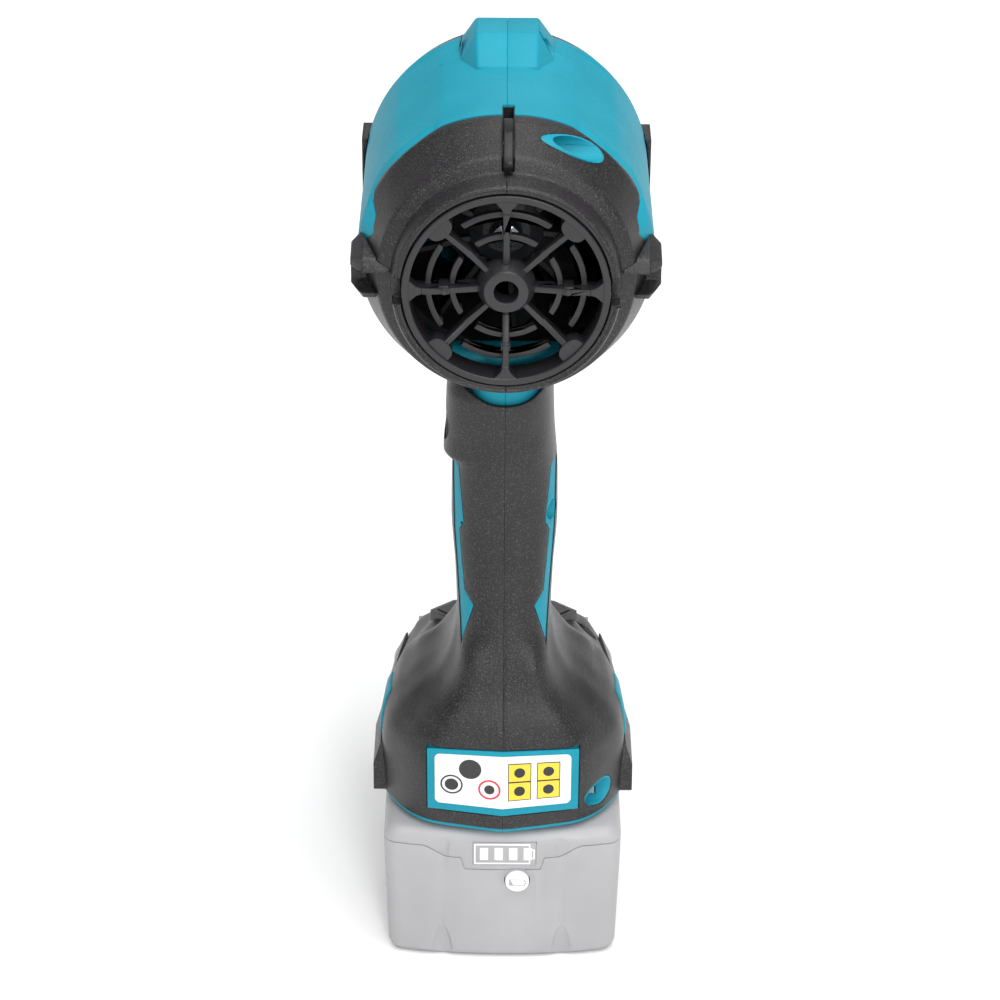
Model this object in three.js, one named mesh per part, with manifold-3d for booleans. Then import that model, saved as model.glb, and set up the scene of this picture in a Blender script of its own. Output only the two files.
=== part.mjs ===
// Cordless dust blower with a slide-on battery, in millimetres.
// Origin: centre of the battery's underside. +X is the user's right, +Y the way the air
// blows, +Z up. The fan axis runs along Y at height AXIS_Z.
import * as THREE from 'three';
import { mergeVertices } from 'three/addons/utils/BufferGeometryUtils.js';
import Module from 'manifold-3d';

// ---- driving dimensions ----
const GAP = 0.3; // clearance between neighbouring pieces
const AXIS_Z = 237.6; // height of the fan axis
const BARREL_R = 43.4; // outside radius of the barrel
const WALL = 2.5; // moulded wall of the housing
const SKIN = 1.5; // soft overmould on the handle and base

const INLET_Y = -60; // rear plane of the inlet ring
const COWL_FRONT_Y = -34; // where the rear cowl meets the barrel
const BARREL_FRONT_Y = 36; // where the barrel steps down for the bumper
const NOSE_Y = 44; // front lip of the housing
const SPIGOT_Y = 95; // front end of the nose
const NOZZLE_TIP_Y = 130;
const GRILLE_R = 29.8;

const PIVOT_Y = -39.5; // hanging hook's pivot
const PIVOT_Z = AXIS_Z + 36;
const HOOK_X = 0.4; // middle of the hook plate
const HOOK_THICK = 2.75;

const DUCT_R = 38; // outside radius of the fan duct
const IMPELLER_R = 35.2;
const SHAFT_R = 2.3;
const CAN_R = 20.5; // motor can

const BASE_Z = 50; // underside of the foot
const GRIP_TOP_Z = 190.5; // upper edge of the grip overmould
const SCREW_R = 1.6;

const BATTERY_WIDTH = 75;
const BATTERY_LENGTH = 117;
const CASE_TOP_Z = 43;
const COVER_TOP_Z = 48;
const RAIL_Z = 55.3; // top of the foot's rails
const RAIL_BLOCK_TOP_Z = 64;
const BLADE_X = 15;

const LOOKS = {
  teal: { color: 0x2a9db4, roughness: 0.45, metalness: 0 },
  plastic: { color: 0x1d1d1f, roughness: 0.5, metalness: 0 },
  rubber: { color: 0x3a3838, roughness: 0.9, metalness: 0 },
  steel: { color: 0xa8abb0, roughness: 0.35, metalness: 1 },
  hook: { color: 0x101012, roughness: 0.25, metalness: 0.6 },
  copper: { color: 0xb8733a, roughness: 0.4, metalness: 1 },
  brass: { color: 0xc9a24a, roughness: 0.35, metalness: 1 },
  board: { color: 0x1f5a35, roughness: 0.5, metalness: 0 },
  pale: { color: 0xc4c3c5, roughness: 0.55, metalness: 0 },
  cell: { color: 0x4a8f6a, roughness: 0.5, metalness: 0 },
  label: { color: 0xf2f2ef, roughness: 0.5, metalness: 0 },
};

// ---- solids: three.js geometry joined and cut by manifold-3d ----
const wasm = await Module();
wasm.setup();

function signedVolume(position, index) {
  const corner = (i) => new THREE.Vector3().fromBufferAttribute(position, index[i]);
  let volume = 0;
  for (let i = 0; i < index.length; i += 3) {
    volume += corner(i).dot(corner(i + 1).cross(corner(i + 2))) / 6;
  }
  return volume;
}

// A closed three.js geometry becomes a manifold solid with its faces pointing out.
function solid(geometry) {
  geometry.deleteAttribute('normal');
  geometry.deleteAttribute('uv');
  const merged = mergeVertices(geometry, 1e-4);
  const index = [];
  const corners = merged.index.array;
  for (let i = 0; i < corners.length; i += 3) {
    const [a, b, c] = [corners[i], corners[i + 1], corners[i + 2]];
    if (a !== b && b !== c && c !== a) index.push(a, b, c);
  }
  const position = merged.getAttribute('position');
  if (signedVolume(position, index) < 0) index.reverse();
  const source = new wasm.Mesh({
    numProp: 3,
    vertProperties: new Float32Array(position.array),
    triVerts: new Uint32Array(index),
  });
  return new wasm.Manifold(source);
}

function box(x0, x1, y0, y1, z0, z1) {
  const geometry = new THREE.BoxGeometry(x1 - x0, y1 - y0, z1 - z0);
  geometry.translate((x0 + x1) / 2, (y0 + y1) / 2, (z0 + z1) / 2);
  return solid(geometry);
}

// A solid turned about a line along Y at height z; the profile is a closed list of [radius, y].
function turned(profile, segments = 36, z = AXIS_Z) {
  const points = profile.map(([r, y]) => new THREE.Vector2(r, y));
  if (profile[0][0] > 0) points.push(points[0].clone());
  const geometry = new THREE.LatheGeometry(points, segments);
  geometry.translate(0, 0, z);
  return solid(geometry);
}

function rodX(radius, x0, x1, y, z, segments = 12) {
  const geometry = new THREE.CylinderGeometry(radius, radius, x1 - x0, segments);
  geometry.rotateZ(Math.PI / 2);
  geometry.translate((x0 + x1) / 2, y, z);
  return solid(geometry);
}

function rodY(radius, y0, y1, x, z, segments = 16) {
  const geometry = new THREE.CylinderGeometry(radius, radius, y1 - y0, segments);
  geometry.translate(x, (y0 + y1) / 2, z);
  return solid(geometry);
}

// An outline of [y, z] points drawn out along X.
function plateX(outline, x0, x1) {
  const shape = new THREE.Shape(outline.map(([y, z]) => new THREE.Vector2(y, z)));
  const geometry = new THREE.ExtrudeGeometry(shape, { depth: x1 - x0, bevelEnabled: false });
  geometry.applyMatrix4(new THREE.Matrix4().set(0, 0, 1, x0, 1, 0, 0, 0, 0, 1, 0, 0, 0, 0, 0, 1));
  return solid(geometry);
}

// An outline of [x, z] points drawn out along Y.
function plateY(outline, y0, y1) {
  const shape = new THREE.Shape(outline.map(([x, z]) => new THREE.Vector2(x, -z)));
  const geometry = new THREE.ExtrudeGeometry(shape, { depth: y1 - y0, bevelEnabled: false });
  geometry.rotateX(-Math.PI / 2);
  geometry.applyMatrix4(new THREE.Matrix4().set(1, 0, 0, 0, 0, 1, 0, y0, 0, 0, 1, 0, 0, 0, 0, 1));
  return solid(geometry);
}

// Rings of [x, y, z] points, all of one length, joined one to the next and capped.
function loft(rings) {
  const count = rings[0].length;
  const vertices = rings.flat(2);
  const middle = (ring) => [0, 1, 2].map((k) => ring.reduce((sum, p) => sum + p[k], 0) / count);
  vertices.push(...middle(rings[0]), ...middle(rings[rings.length - 1]));
  const index = [];
  for (let r = 0; r + 1 < rings.length; r += 1) {
    for (let i = 0; i < count; i += 1) {
      const [a, b] = [r * count + i, r * count + ((i + 1) % count)];
      index.push(a, b, a + count, b, b + count, a + count);
    }
  }
  const [start, end] = [rings.length * count, rings.length * count + 1];
  const last = (rings.length - 1) * count;
  for (let i = 0; i < count; i += 1) {
    const next = (i + 1) % count;
    index.push(start, next, i);
    index.push(end, last + i, last + next);
  }
  const geometry = new THREE.BufferGeometry();
  geometry.setAttribute('position', new THREE.Float32BufferAttribute(vertices, 3));
  geometry.setIndex(index);
  return solid(geometry);
}

function joined(...parts) {
  return parts.reduce((sum, part) => sum.add(part));
}

const FAR = 400;
const leftSide = () => box(-FAR, -GAP / 2, -FAR, FAR, -FAR, FAR);
const rightSide = () => box(GAP / 2, FAR, -FAR, FAR, -FAR, FAR);

const group = new THREE.Group();
group.name = 'dust_blower';

function addPiece(name, shape, look) {
  const { vertProperties, triVerts } = shape.getMesh();
  const geometry = new THREE.BufferGeometry();
  geometry.setAttribute('position', new THREE.BufferAttribute(new Float32Array(vertProperties), 3));
  geometry.setIndex(new THREE.BufferAttribute(new Uint32Array(triVerts), 1));
  geometry.computeVertexNormals();
  const mesh = new THREE.Mesh(geometry, new THREE.MeshStandardMaterial(LOOKS[look]));
  mesh.name = name;
  group.add(mesh);
}

function addHalves(name, shape, look) {
  addPiece(`${name}_left`, shape.intersect(leftSide()), look);
  addPiece(`${name}_right`, shape.intersect(rightSide()), look);
}

// ---- handle and foot outlines, shared by the overmould and the housing inside it ----
// Handle stations: height, rear and front face, half width.
const HANDLE = [
  { z: 203, rear: -40.5, front: 8, half: 15 },
  { z: 191, rear: -40, front: 4, half: 14.7 },
  { z: 176, rear: -38.5, front: 2.5, half: 15.1 },
  { z: 158, rear: -38, front: 2, half: 16.3 },
  { z: 145, rear: -38.5, front: 1, half: 16.4 },
  { z: 127, rear: -41, front: -0.5, half: 15.2 },
  { z: 108, rear: -46, front: 0, half: 14.8 },
];
// Foot stations: height, rear middle, rear corner, greatest half width (at y = -20), half
// width at y = 0 and near the front, and the front face.
const FOOT = [
  { z: 50, rear: -60, corner: [35.5, -42], half: 39.4, mid: 38.4, fore: 36.3, front: 46 },
  { z: 67, rear: -59.4, corner: [35.5, -42], half: 39, mid: 37.6, fore: 28.5, front: 45 },
  { z: 74, rear: -58.6, corner: [34.5, -41], half: 37.8, mid: 35.4, fore: 20, front: 41 },
  { z: 80, rear: -57.4, corner: [31, -40], half: 34.6, mid: 32.5, fore: 18, front: 32 },
  { z: 85, rear: -56, corner: [27, -39], half: 30, mid: 28, fore: 16, front: 12 },
  { z: 95, rear: -51, corner: [19, -38], half: 21.5, mid: 19, fore: 12, front: 4 },
  { z: 104, rear: -47.5, corner: [15, -37], half: 17.5, mid: 14, fore: 9, front: 1 },
  { z: 112, rear: -45, corner: [13.5, -36], half: 15, mid: 12, fore: 7, front: 0 },
];

// A rounded section of the handle, moved inwards by inset.
function handleRing({ z, rear, front, half }, inset, points = 24) {
  const squareness = 0.72;
  const middle = (rear + front) / 2;
  const ring = [];
  for (let i = 0; i < points; i += 1) {
    const angle = (2 * Math.PI * i) / points;
    const [c, s] = [Math.cos(angle), Math.sin(angle)];
    const x = (half - inset) * Math.sign(c) * Math.abs(c) ** squareness;
    const y = middle + ((front - rear) / 2 - inset) * Math.sign(s) * Math.abs(s) ** squareness;
    ring.push([x, y, z]);
  }
  return ring;
}

// How far the creased back has fallen away at the label's outer edges.
const LABEL_HALF = 23.5;
function creaseDepth(z) {
  return 4.4 - (2.6 * (z - 57.3)) / 22.7;
}

// A section of the foot: a creased back, rounded corners and a narrower front.
function footRing({ z, rear, corner, half, mid, fore, front }, inset) {
  const [cornerX, cornerY] = [corner[0] - inset, corner[1] + inset / 2];
  const back = rear + inset;
  const side = [];
  const facet = Math.min(LABEL_HALF, cornerX * 0.72);
  const edge = back + creaseDepth(z);
  side.push([facet, edge], [(facet + cornerX) / 2 + 1, (edge + cornerY) / 2 - 1]);
  side.push([cornerX, cornerY]);
  side.push([(half - inset + cornerX) / 2 + 1, cornerY + (-20 - cornerY) * 0.3]);
  side.push([half - inset, -20]);
  side.push([mid - inset, Math.min(0, front - inset - 4)]);
  side.push([fore - inset, front - inset - 3]);
  side.push([(fore - inset) * 0.7, front - inset]);
  const right = side.map(([x, y]) => [x, y, z]);
  const left = side.map(([x, y]) => [-x, y, z]).reverse();
  return [[0, back, z], ...right, ...left];
}

// Handle and foot as one solid; below adds a straight stretch under the foot.
function gripBody(inset, below = 0) {
  const handle = loft(HANDLE.map((station) => handleRing(station, inset)));
  const stations = below > 0 ? [{ ...FOOT[0], z: BASE_Z - below }, ...FOOT] : FOOT;
  const foot = loft(stations.map((station) => footRing(station, inset)));
  return joined(handle, foot);
}

// ---- head outlines ----
const barrelInside = () => turned([
  [0, -52], [33.2, -52], [33.2, -49.5], [38.8, -35], [BARREL_R - WALL, -31],
  [BARREL_R - WALL, 24], [38.8, 27], [38.3, 39], [35, NOSE_Y + 2], [0, NOSE_Y + 2],
]);
const barrelOutside = () => turned([
  [0, -49.5], [35.6, -49.5], [41.4, COWL_FRONT_Y - GAP], [BARREL_R, COWL_FRONT_Y],
  [BARREL_R, 31], [42.4, BARREL_FRONT_Y - 0.3], [40.3, BARREL_FRONT_Y], [39.8, 40], [37.5, NOSE_Y],
  [0, NOSE_Y],
]);

// The flat-topped rise along the top of the barrel, as a ring across X at one y.
function riseRing(y, top, half, foot, footZ) {
  const low = AXIS_Z + 34;
  const right = [[half, y, top], [foot, y, footZ], [foot, y, low]];
  const left = right.map(([x, , z]) => [-x, y, z]).reverse();
  return [...left, ...right];
}
function barrelRise() {
  const crest = AXIS_Z + BARREL_R;
  return loft([
    riseRing(2.7, crest, 8.8, 9.2, crest - 1),
    riseRing(14, 287.5, 9.2, 14, crest - 2.4),
    riseRing(26, 287.5, 9.4, 14.6, crest - 2.6),
    riseRing(30, 286, 9.4, 14.6, crest - 2.6),
    riseRing(BARREL_FRONT_Y - 0.3, 283.1, 9, 14.2, crest - 3.6),
  ]);
}

// ---- housing screws: all enter from the user's right ----
const SCREWS = [
  { name: 'hook_pivot_screw', y: PIVOT_Y, z: PIVOT_Z, head: 10, length: 24 },
  { name: 'housing_screw_rise', y: 18, z: 280.8, head: 5, length: 14 },
  { name: 'housing_screw_neck', y: -30, z: 202, head: 7, length: 16 },
  { name: 'housing_screw_grip', y: -30, z: 150, head: 9, length: 17 },
  { name: 'housing_screw_front', y: -6, z: 116, head: 8, length: 16 },
  { name: 'housing_screw_heel', y: -49.9, z: 58, head: 20, length: 30 },
  { name: 'housing_screw_toe', y: 26, z: 71.6, head: 12, length: 20 },
];
const HEAD_R = 2.8;
const HEAD_LENGTH = 2.6;

function screw({ y, z, head, length }) {
  const body = joined(
    rodX(HEAD_R, head, head + HEAD_LENGTH, y, z, 12),
    rodX(SCREW_R, head - length, head + 0.5, y, z, 8),
  );
  return body.subtract(rodX(1.3, head + 1, head + 5, y, z, 6));
}
// The post that a screw clamps through both halves of the housing.
function screwPost({ y, z }) {
  return rodX(HEAD_R + 2, -40, 40, y, z, 10);
}
// The hole for a screw, wide from its head outwards.
function screwHole({ y, z, head, length }) {
  return joined(
    rodX(HEAD_R + 0.4, head - GAP, head + 60, y, z, 12),
    rodX(SCREW_R + GAP, head - length - 1, head, y, z, 8),
  );
}

// ---- hanging hook ----
const SLOT_HALF = 1.75;
const hookSlot = () => box(
  HOOK_X - SLOT_HALF, HOOK_X + SLOT_HALF, -50.5, -26, PIVOT_Z - 9, AXIS_Z + 60,
);
// The walled pocket inside the housing that the folded hook lies in.
const hookPocket = () => box(HOOK_X - 3.6, HOOK_X + 3.6, -49.4, -24, PIVOT_Z - 11, AXIS_Z + 37);

function hangingHook() {
  const outline = [
    [-34.6, 40.4], [-35.2, 42.6], [-37, 43.9], [-44, 42.9], [-52.4, 38.7], [-54, 36.6], [-53.2, 34],
    [-51.6, 34], [-50.4, 35.4], [-48.4, 37.2], [-45.6, 37.6], [-44.4, 35.6], [-44, 33.2],
    [-42, 31.2], [-39.5, 30.5], [-37, 31.2], [-35, 33.2], [-34.2, 36],
  ];
  const plate = plateX(
    outline.map(([y, z]) => [y, z + AXIS_Z]), HOOK_X - HOOK_THICK / 2, HOOK_X + HOOK_THICK / 2,
  );
  return plate.subtract(rodX(SCREW_R + GAP, -5, 5, PIVOT_Y, PIVOT_Z, 16));
}

// ---- openings in the grip ----
const TRIGGER_HALF = 9.2;
const triggerOpening = () => box(-TRIGGER_HALF - 0.5, TRIGGER_HALF + 0.5, -14, 25, 166.5, 193.6);
const LOCK_Y = -26;
const LOCK_Z = 178;
const LOCK_R = 5;
const lockOpening = () => rodX(LOCK_R + 0.4, -30, -6, LOCK_Y, LOCK_Z, 20);
// The space that the battery's rail block slides through, open to the front.
const railBay = () => joined(
  box(-22, 22, -44.5, -21, 64, 67),
  box(-29.3, 29.3, -46.7, 70, RAIL_Z, RAIL_BLOCK_TOP_Z + 1.2),
  box(-24.9, 24.9, -46.7, 70, BASE_Z - 5, RAIL_Z + 1),
);

// The teal accent windows at the grip's rear corners: [x, z] from the top down the inner
// edge and back up the outer one.
function accentWindow(side) {
  const inner = [[13.9, 166.2], [12.3, 147.7], [13.6, 144], [12, 124.5], [9.2, 121], [13.1, 107.5]];
  const outer = [[13.4, 121.8], [14.8, 143.5], [15.2, 165.5]];
  return plateY([...inner, ...outer].map(([x, z]) => [side * x, z]), -50, -22);
}

// The label sits on two flats that meet in a crease at the middle of the back.
function labelFlat(side, outside, depth, grow) {
  const ring = (z, back) => {
    const [half, edge] = [side * (LABEL_HALF + grow), back + creaseDepth(z)];
    return [[0, back, z], [half, edge, z], [half, edge + depth, z], [0, back + depth, z]];
  };
  return loft([ring(57.3 - grow, -59.9 - outside), ring(80 + grow, -58 - outside)]);
}
function labelPlate(outside, depth, grow) {
  return joined(labelFlat(-1, outside, depth, grow), labelFlat(1, outside, depth, grow));
}

// ---- control panel on the foot's top, in front of the grip ----
const PANEL_Y = 21.5;
const PANEL_Z = 82;
const PANEL_TILT = -0.27;
function onPanel(geometry) {
  geometry.rotateX(PANEL_TILT);
  geometry.translate(0, PANEL_Y, PANEL_Z);
  return solid(geometry);
}
function panelPlate(grow, low, high) {
  const outline = [[-21.5, 0], [-15, 10.5], [15, 10.5], [21.5, 0], [15, -10.5], [-15, -10.5]];
  const scale = 1 + grow / 16;
  const shape = new THREE.Shape(outline.map(([x, y]) => new THREE.Vector2(x * scale, y * scale)));
  const geometry = new THREE.ExtrudeGeometry(shape, { depth: high - low, bevelEnabled: false });
  geometry.translate(0, 0, low);
  return onPanel(geometry);
}
function panelRod(radius, low, high, x, segments = 20) {
  const geometry = new THREE.CylinderGeometry(radius, radius, high - low, segments);
  geometry.rotateX(Math.PI / 2);
  geometry.translate(x, 0, (low + high) / 2);
  return onPanel(geometry);
}

// ---- the housing: one moulded half on each side ----
function housing() {
  const teal = SKIN + GAP;
  const outside = joined(barrelOutside(), barrelRise(), gripBody(teal));
  const hollow = joined(
    barrelInside(),
    gripBody(teal + 2.2).intersect(box(-FAR, FAR, -FAR, FAR, 66, FAR)),
    box(-7, 7, 12, 28, AXIS_Z + 36, 284),
  );
  const posts = joined(...SCREWS.map(screwPost)).intersect(outside);
  let body = joined(outside.subtract(hollow), posts, hookPocket().intersect(outside));
  body = body.subtract(hookSlot()).subtract(railBay()).subtract(triggerOpening());
  body = body.subtract(lockOpening()).subtract(labelPlate(1, 3.3, 0.4));
  body = body.subtract(panelPlate(0.4, -1.6, 9)).subtract(panelRod(6, -8, 2, 0));
  return SCREWS.reduce((rest, one) => rest.subtract(screwHole(one)), body);
}

// ---- soft overmould of the grip and foot ----
// A raised flank along the foot, widest at the back; each ring lists [x, y] at one height.
function skirt(side) {
  const ring = (z, outline) => outline.map(([x, y]) => [side * x, y, z]);
  const flank = (z, back, spread) => ring(z, [
    [33, back], [41.2, back], [41.2, -14], [40.4 - spread, 2], [38.6 - spread * 1.3, 22],
    [36.5 - spread, 34], [33, 34],
  ]);
  const top = [[33, -33], [39, -33], [39, -14], [37.5, 2], [34.5, 22], [32.6, 34], [32, 34]];
  return loft([flank(BASE_Z + 1.2, -38, 0), flank(60, -36.5, 1.4), ring(65.5, top)]);
}
function lockGuard() {
  const outline = [
    [-36, 170], [-33, 167], [-18, 167], [-15, 170], [-15, 188], [-18, 191], [-33, 191], [-36, 188],
  ];
  return plateX(outline, -17.9, -12);
}
function gripSkin() {
  let skin = joined(gripBody(0), skirt(1), skirt(-1), lockGuard());
  skin = skin.subtract(gripBody(SKIN, 4));
  skin = skin.intersect(box(-FAR, FAR, -FAR, FAR, BASE_Z + 1.2, GRIP_TOP_Z));
  skin = skin.subtract(triggerOpening()).subtract(lockOpening()).subtract(railBay());
  skin = skin.subtract(labelPlate(6, 12, 0.4)).subtract(panelPlate(0.4, -4, 9));
  skin = skin.subtract(accentWindow(-1)).subtract(accentWindow(1));
  return SCREWS.slice(3).reduce((rest, one) => rest.subtract(screwHole(one)), skin);
}

// ---- rear cowl, side pads and inlet ----
const COWL_OUTSIDE = [[31.2, INLET_Y], [32.6, INLET_Y + 1], [33, -51.3], [37.2, -50.2],
  [43.2, COWL_FRONT_Y - 0.6]];
function rearCowl() {
  const inside = [[41.7, COWL_FRONT_Y - 0.6], [35.95, -49.9], [30.2, -49.9], [30.2, INLET_Y]];
  let cowl = turned([...COWL_OUTSIDE, ...inside]);
  cowl = cowl.subtract(hookSlot());
  cowl = cowl.subtract(box(HOOK_X - SLOT_HALF, HOOK_X + SLOT_HALF, -51.8, -50, AXIS_Z + 33.4, AXIS_Z + 60));
  for (const side of [-1, 1]) {
    const [near, far] = [28, 33.6].map((x) => x * side).sort((a, b) => a - b);
    cowl = cowl.subtract(box(near, far, INLET_Y - 1, INLET_Y + 5.5, AXIS_Z - 4.2, AXIS_Z + 4.2));
  }
  return cowl.subtract(screwHole(SCREWS[0])).subtract(gripBody(SKIN - 0.1));
}
function sidePad(side) {
  const outline = [
    [-52, 235], [-49, 230.5], [-38, 226], [-29, 230], [-28, 243], [-36, 246.5], [-50, 243.5], [-52, 240],
  ];
  const [middleY, middleZ] = [-40, 238];
  const scaled = (value, middle, scale) => middle + (value - middle) * scale;
  const ring = (x, scale) => outline.map(
    ([y, z]) => [side * x, scaled(y, middleY, scale), scaled(z, middleZ, scale)],
  );
  const block = loft([ring(30, 1), ring(41, 1), ring(44.9, 0.55)]);
  const clearance = COWL_OUTSIDE.map(([r, y]) => [r + 0.4, y]);
  const keepOut = turned([[0, INLET_Y], ...clearance, [BARREL_R + 0.4, COWL_FRONT_Y + 0.5],
    [BARREL_R + 0.4, 0], [0, 0]]);
  return block.subtract(keepOut);
}

function spoke(angle, half, r0, r1, y0, y1) {
  const geometry = new THREE.BoxGeometry(r1 - r0, y1 - y0, 2 * half);
  geometry.translate((r0 + r1) / 2, (y0 + y1) / 2, 0);
  geometry.rotateY(angle);
  geometry.translate(0, 0, AXIS_Z);
  return solid(geometry);
}
function gusset(angle) {
  const outline = [[24.6, -0.9], [28.6, -3.4], [28.6, 3.4], [24.6, 0.9]];
  const shape = new THREE.Shape(outline.map(([x, z]) => new THREE.Vector2(x, z)));
  const geometry = new THREE.ExtrudeGeometry(shape, { depth: 4, bevelEnabled: false });
  geometry.rotateX(Math.PI / 2);
  geometry.rotateY(angle);
  geometry.translate(0, INLET_Y + 4.2, AXIS_Z);
  return solid(geometry);
}
// A concentric rib between spokes, as an arc about the spoke at the given angle.
function grilleRib(radius, angle) {
  const reach = 0.58;
  const half = 0.85;
  const arc = { from: angle - reach, to: angle + reach, steps: 4 };
  const outline = [];
  for (let i = 0; i <= arc.steps; i += 1) {
    const t = arc.from + ((arc.to - arc.from) * i) / arc.steps;
    outline.push([(radius + half) * Math.cos(t), AXIS_Z + (radius + half) * Math.sin(t)]);
  }
  for (let i = arc.steps; i >= 0; i -= 1) {
    const t = arc.from + ((arc.to - arc.from) * i) / arc.steps;
    outline.push([(radius - half) * Math.cos(t), AXIS_Z + (radius - half) * Math.sin(t)]);
  }
  return plateY(outline, INLET_Y + 4.2, INLET_Y + 6.4);
}
function inletGrille() {
  const ring = turned([[27.9, INLET_Y + 0.2], [28.3, INLET_Y], [29.4, INLET_Y], [GRILLE_R, INLET_Y + 0.4],
    [GRILLE_R, INLET_Y + 9], [27.9, INLET_Y + 9]], 32);
  const hub = turned([[3.5, INLET_Y], [6.3, INLET_Y], [6.9, INLET_Y + 2], [8.5, INLET_Y + 4.5],
    [8.5, INLET_Y + 6.5], [3.5, INLET_Y + 6.5]], 16);
  const parts = [ring, hub];
  for (let i = 0; i < 8; i += 1) {
    const angle = (i * Math.PI) / 4;
    parts.push(spoke(angle, 0.95, 7, 28.4, INLET_Y + 2.6, INLET_Y + 6.4));
    parts.push(spoke(angle, 0.95, 16.7, 26.4, INLET_Y, INLET_Y + 3));
    parts.push(gusset(angle));
  }
  for (let i = 0; i < 4; i += 1) {
    const angle = (i * Math.PI) / 2;
    parts.push(grilleRib(15.5, angle), grilleRib(22.4, angle));
  }
  return joined(...parts);
}

// ---- front bumper, nose and nozzle ----
function frontBumper() {
  const back = BARREL_FRONT_Y + GAP;
  const ring = turned([[39.9, back], [42.2, back], [41.4, 39.5], [40.9, 41.4], [39.9, 41.4]]);
  const hump = loft([
    riseRing(back, 282.8, 8.9, 14, AXIS_Z + 39.6),
    riseRing(41.5, 279.4, 8, 13, AXIS_Z + 38.4),
  ]);
  const pads = [-1, 1].map((side) => {
    const [near, far] = [36, 44.4].map((x) => x * side).sort((a, b) => a - b);
    return box(near, far, 27.2, 40, AXIS_Z - 8, AXIS_Z + 10);
  });
  const core = turned([
    [0, 20], [BARREL_R + GAP, 20], [BARREL_R + GAP, 31], [42.7, BARREL_FRONT_Y - 0.2],
    [40.6, BARREL_FRONT_Y + 0.1], [40.1, 40.2], [39, 44], [0, 44],
  ]);
  return joined(ring, hump, ...pads).subtract(core);
}
function noseCone() {
  return turned([
    [32.4, 40], [34.6, 40], [34.6, NOSE_Y + GAP], [37.4, NOSE_Y + GAP + 0.1], [31.5, 60], [22.5, 80],
    [17, 88], [13, 88.2], [13, SPIGOT_Y], [11, SPIGOT_Y], [11, 88], [20.2, 80], [29.2, 60], [33, 45],
  ]);
}
function nozzleSeal() {
  return turned([[13.2, 90.6], [14.2, 90.6], [14.6, 91.3], [14.2, 92], [13.2, 92]], 24);
}
const NOZZLE_BORE_R = 4.5;
function nozzle() {
  return turned([
    [15, 88.8], [17.2, 88.8], [17.2, 96], [13.5, 104], [9, 112], [7, NOZZLE_TIP_Y],
    [NOZZLE_BORE_R, NOZZLE_TIP_Y], [6.2, 112], [11, 104], [13.4, 97.5], [13.4, 95.6], [15, 95.4],
  ], 24);
}

// ---- fan and motor ----
function fanDuct() {
  const tube = turned([[35.8, -21], [37, -22.5], [DUCT_R, -22.5], [DUCT_R, 26], [35.4, 26], [35.8, -2]]);
  const can = turned([
    [5.4, -3], [CAN_R, -3], [CAN_R, 22], [CAN_R - 2, 22], [CAN_R - 2, -0.8], [7.2, -0.8], [7.2, 1.8], [5.4, 1.8],
  ], 24);
  const vanes = [];
  const vaneCount = 7;
  for (let i = 0; i < vaneCount; i += 1) {
    vanes.push(spoke((2 * Math.PI * i) / vaneCount + 0.2, 0.7, CAN_R - 1, 36.4, 0, 20));
  }
  return joined(tube, can, ...vanes);
}
function mountRing(y) {
  return turned([[DUCT_R + GAP, y], [40.5, y], [40.5, y + 6], [DUCT_R + GAP, y + 6]], 32);
}
function impellerBlade(angle) {
  const lean = 0.32;
  const [front, rear] = [-5, -17.5];
  const ring = (r, half) => [
    [r, rear, -half - lean * r * 0.3], [r, front, -half + lean * r * 0.3],
    [r, front, half + lean * r * 0.3], [r, rear, half - lean * r * 0.3],
  ];
  const turn = new THREE.Matrix4().makeRotationY(angle);
  const place = (p) => {
    const v = new THREE.Vector3(...p).applyMatrix4(turn);
    return [v.x, v.y, v.z + AXIS_Z];
  };
  return loft([ring(11, 0.8), ring(IMPELLER_R - 1.5, 0.6)].map((points) => points.map(place)));
}
function impeller() {
  const hub = turned([
    [SHAFT_R + GAP, -18], [7, -18], [11, -16.5], [16, -11], [19.6, -3.6], [17, -3.6], [12, -9],
    [6, -9], [6, -4.2], [SHAFT_R + GAP, -4.2],
  ], 20);
  const blades = [];
  const bladeCount = 9;
  for (let i = 0; i < bladeCount; i += 1) blades.push(impellerBlade((2 * Math.PI * i) / bladeCount));
  return joined(hub, ...blades);
}
function bearing(y) {
  return turned([[SHAFT_R + GAP, y], [5.1, y], [5.1, y + 4], [SHAFT_R + GAP, y + 4]], 16);
}
function stator() {
  const yoke = turned([[14.6, 3.5], [18.2, 3.5], [18.2, 18.5], [14.6, 18.5]], 24);
  const teeth = [];
  for (let i = 0; i < 6; i += 1) {
    teeth.push(spoke((i * Math.PI) / 3, 2.6, 8.6, 15.4, 3.5, 18.5));
  }
  return joined(yoke, ...teeth);
}
function motorEndCap() {
  return turned([
    [0, 30], [SHAFT_R + 0.4, 30], [SHAFT_R + 0.4, 27.4], [5.4, 27.4], [5.4, 22.3], [CAN_R, 22.3],
    [CAN_R, 24.5], [16, 31], [9, 37], [0, 38.5],
  ], 24);
}

addHalves('housing', housing(), 'teal');
addHalves('grip_skin', gripSkin(), 'rubber');
addHalves('rear_cowl', rearCowl(), 'rubber');
addPiece('side_pad_left', sidePad(-1), 'rubber');
addPiece('side_pad_right', sidePad(1), 'rubber');
addPiece('inlet_grille', inletGrille(), 'plastic');
addPiece('hanging_hook', hangingHook(), 'hook');
addPiece('front_bumper', frontBumper(), 'rubber');
addPiece('nose_cone', noseCone(), 'plastic');
addPiece('nozzle_seal', nozzleSeal(), 'rubber');
addPiece('nozzle', nozzle(), 'plastic');
for (const one of SCREWS) addPiece(one.name, screw(one), 'steel');

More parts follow.
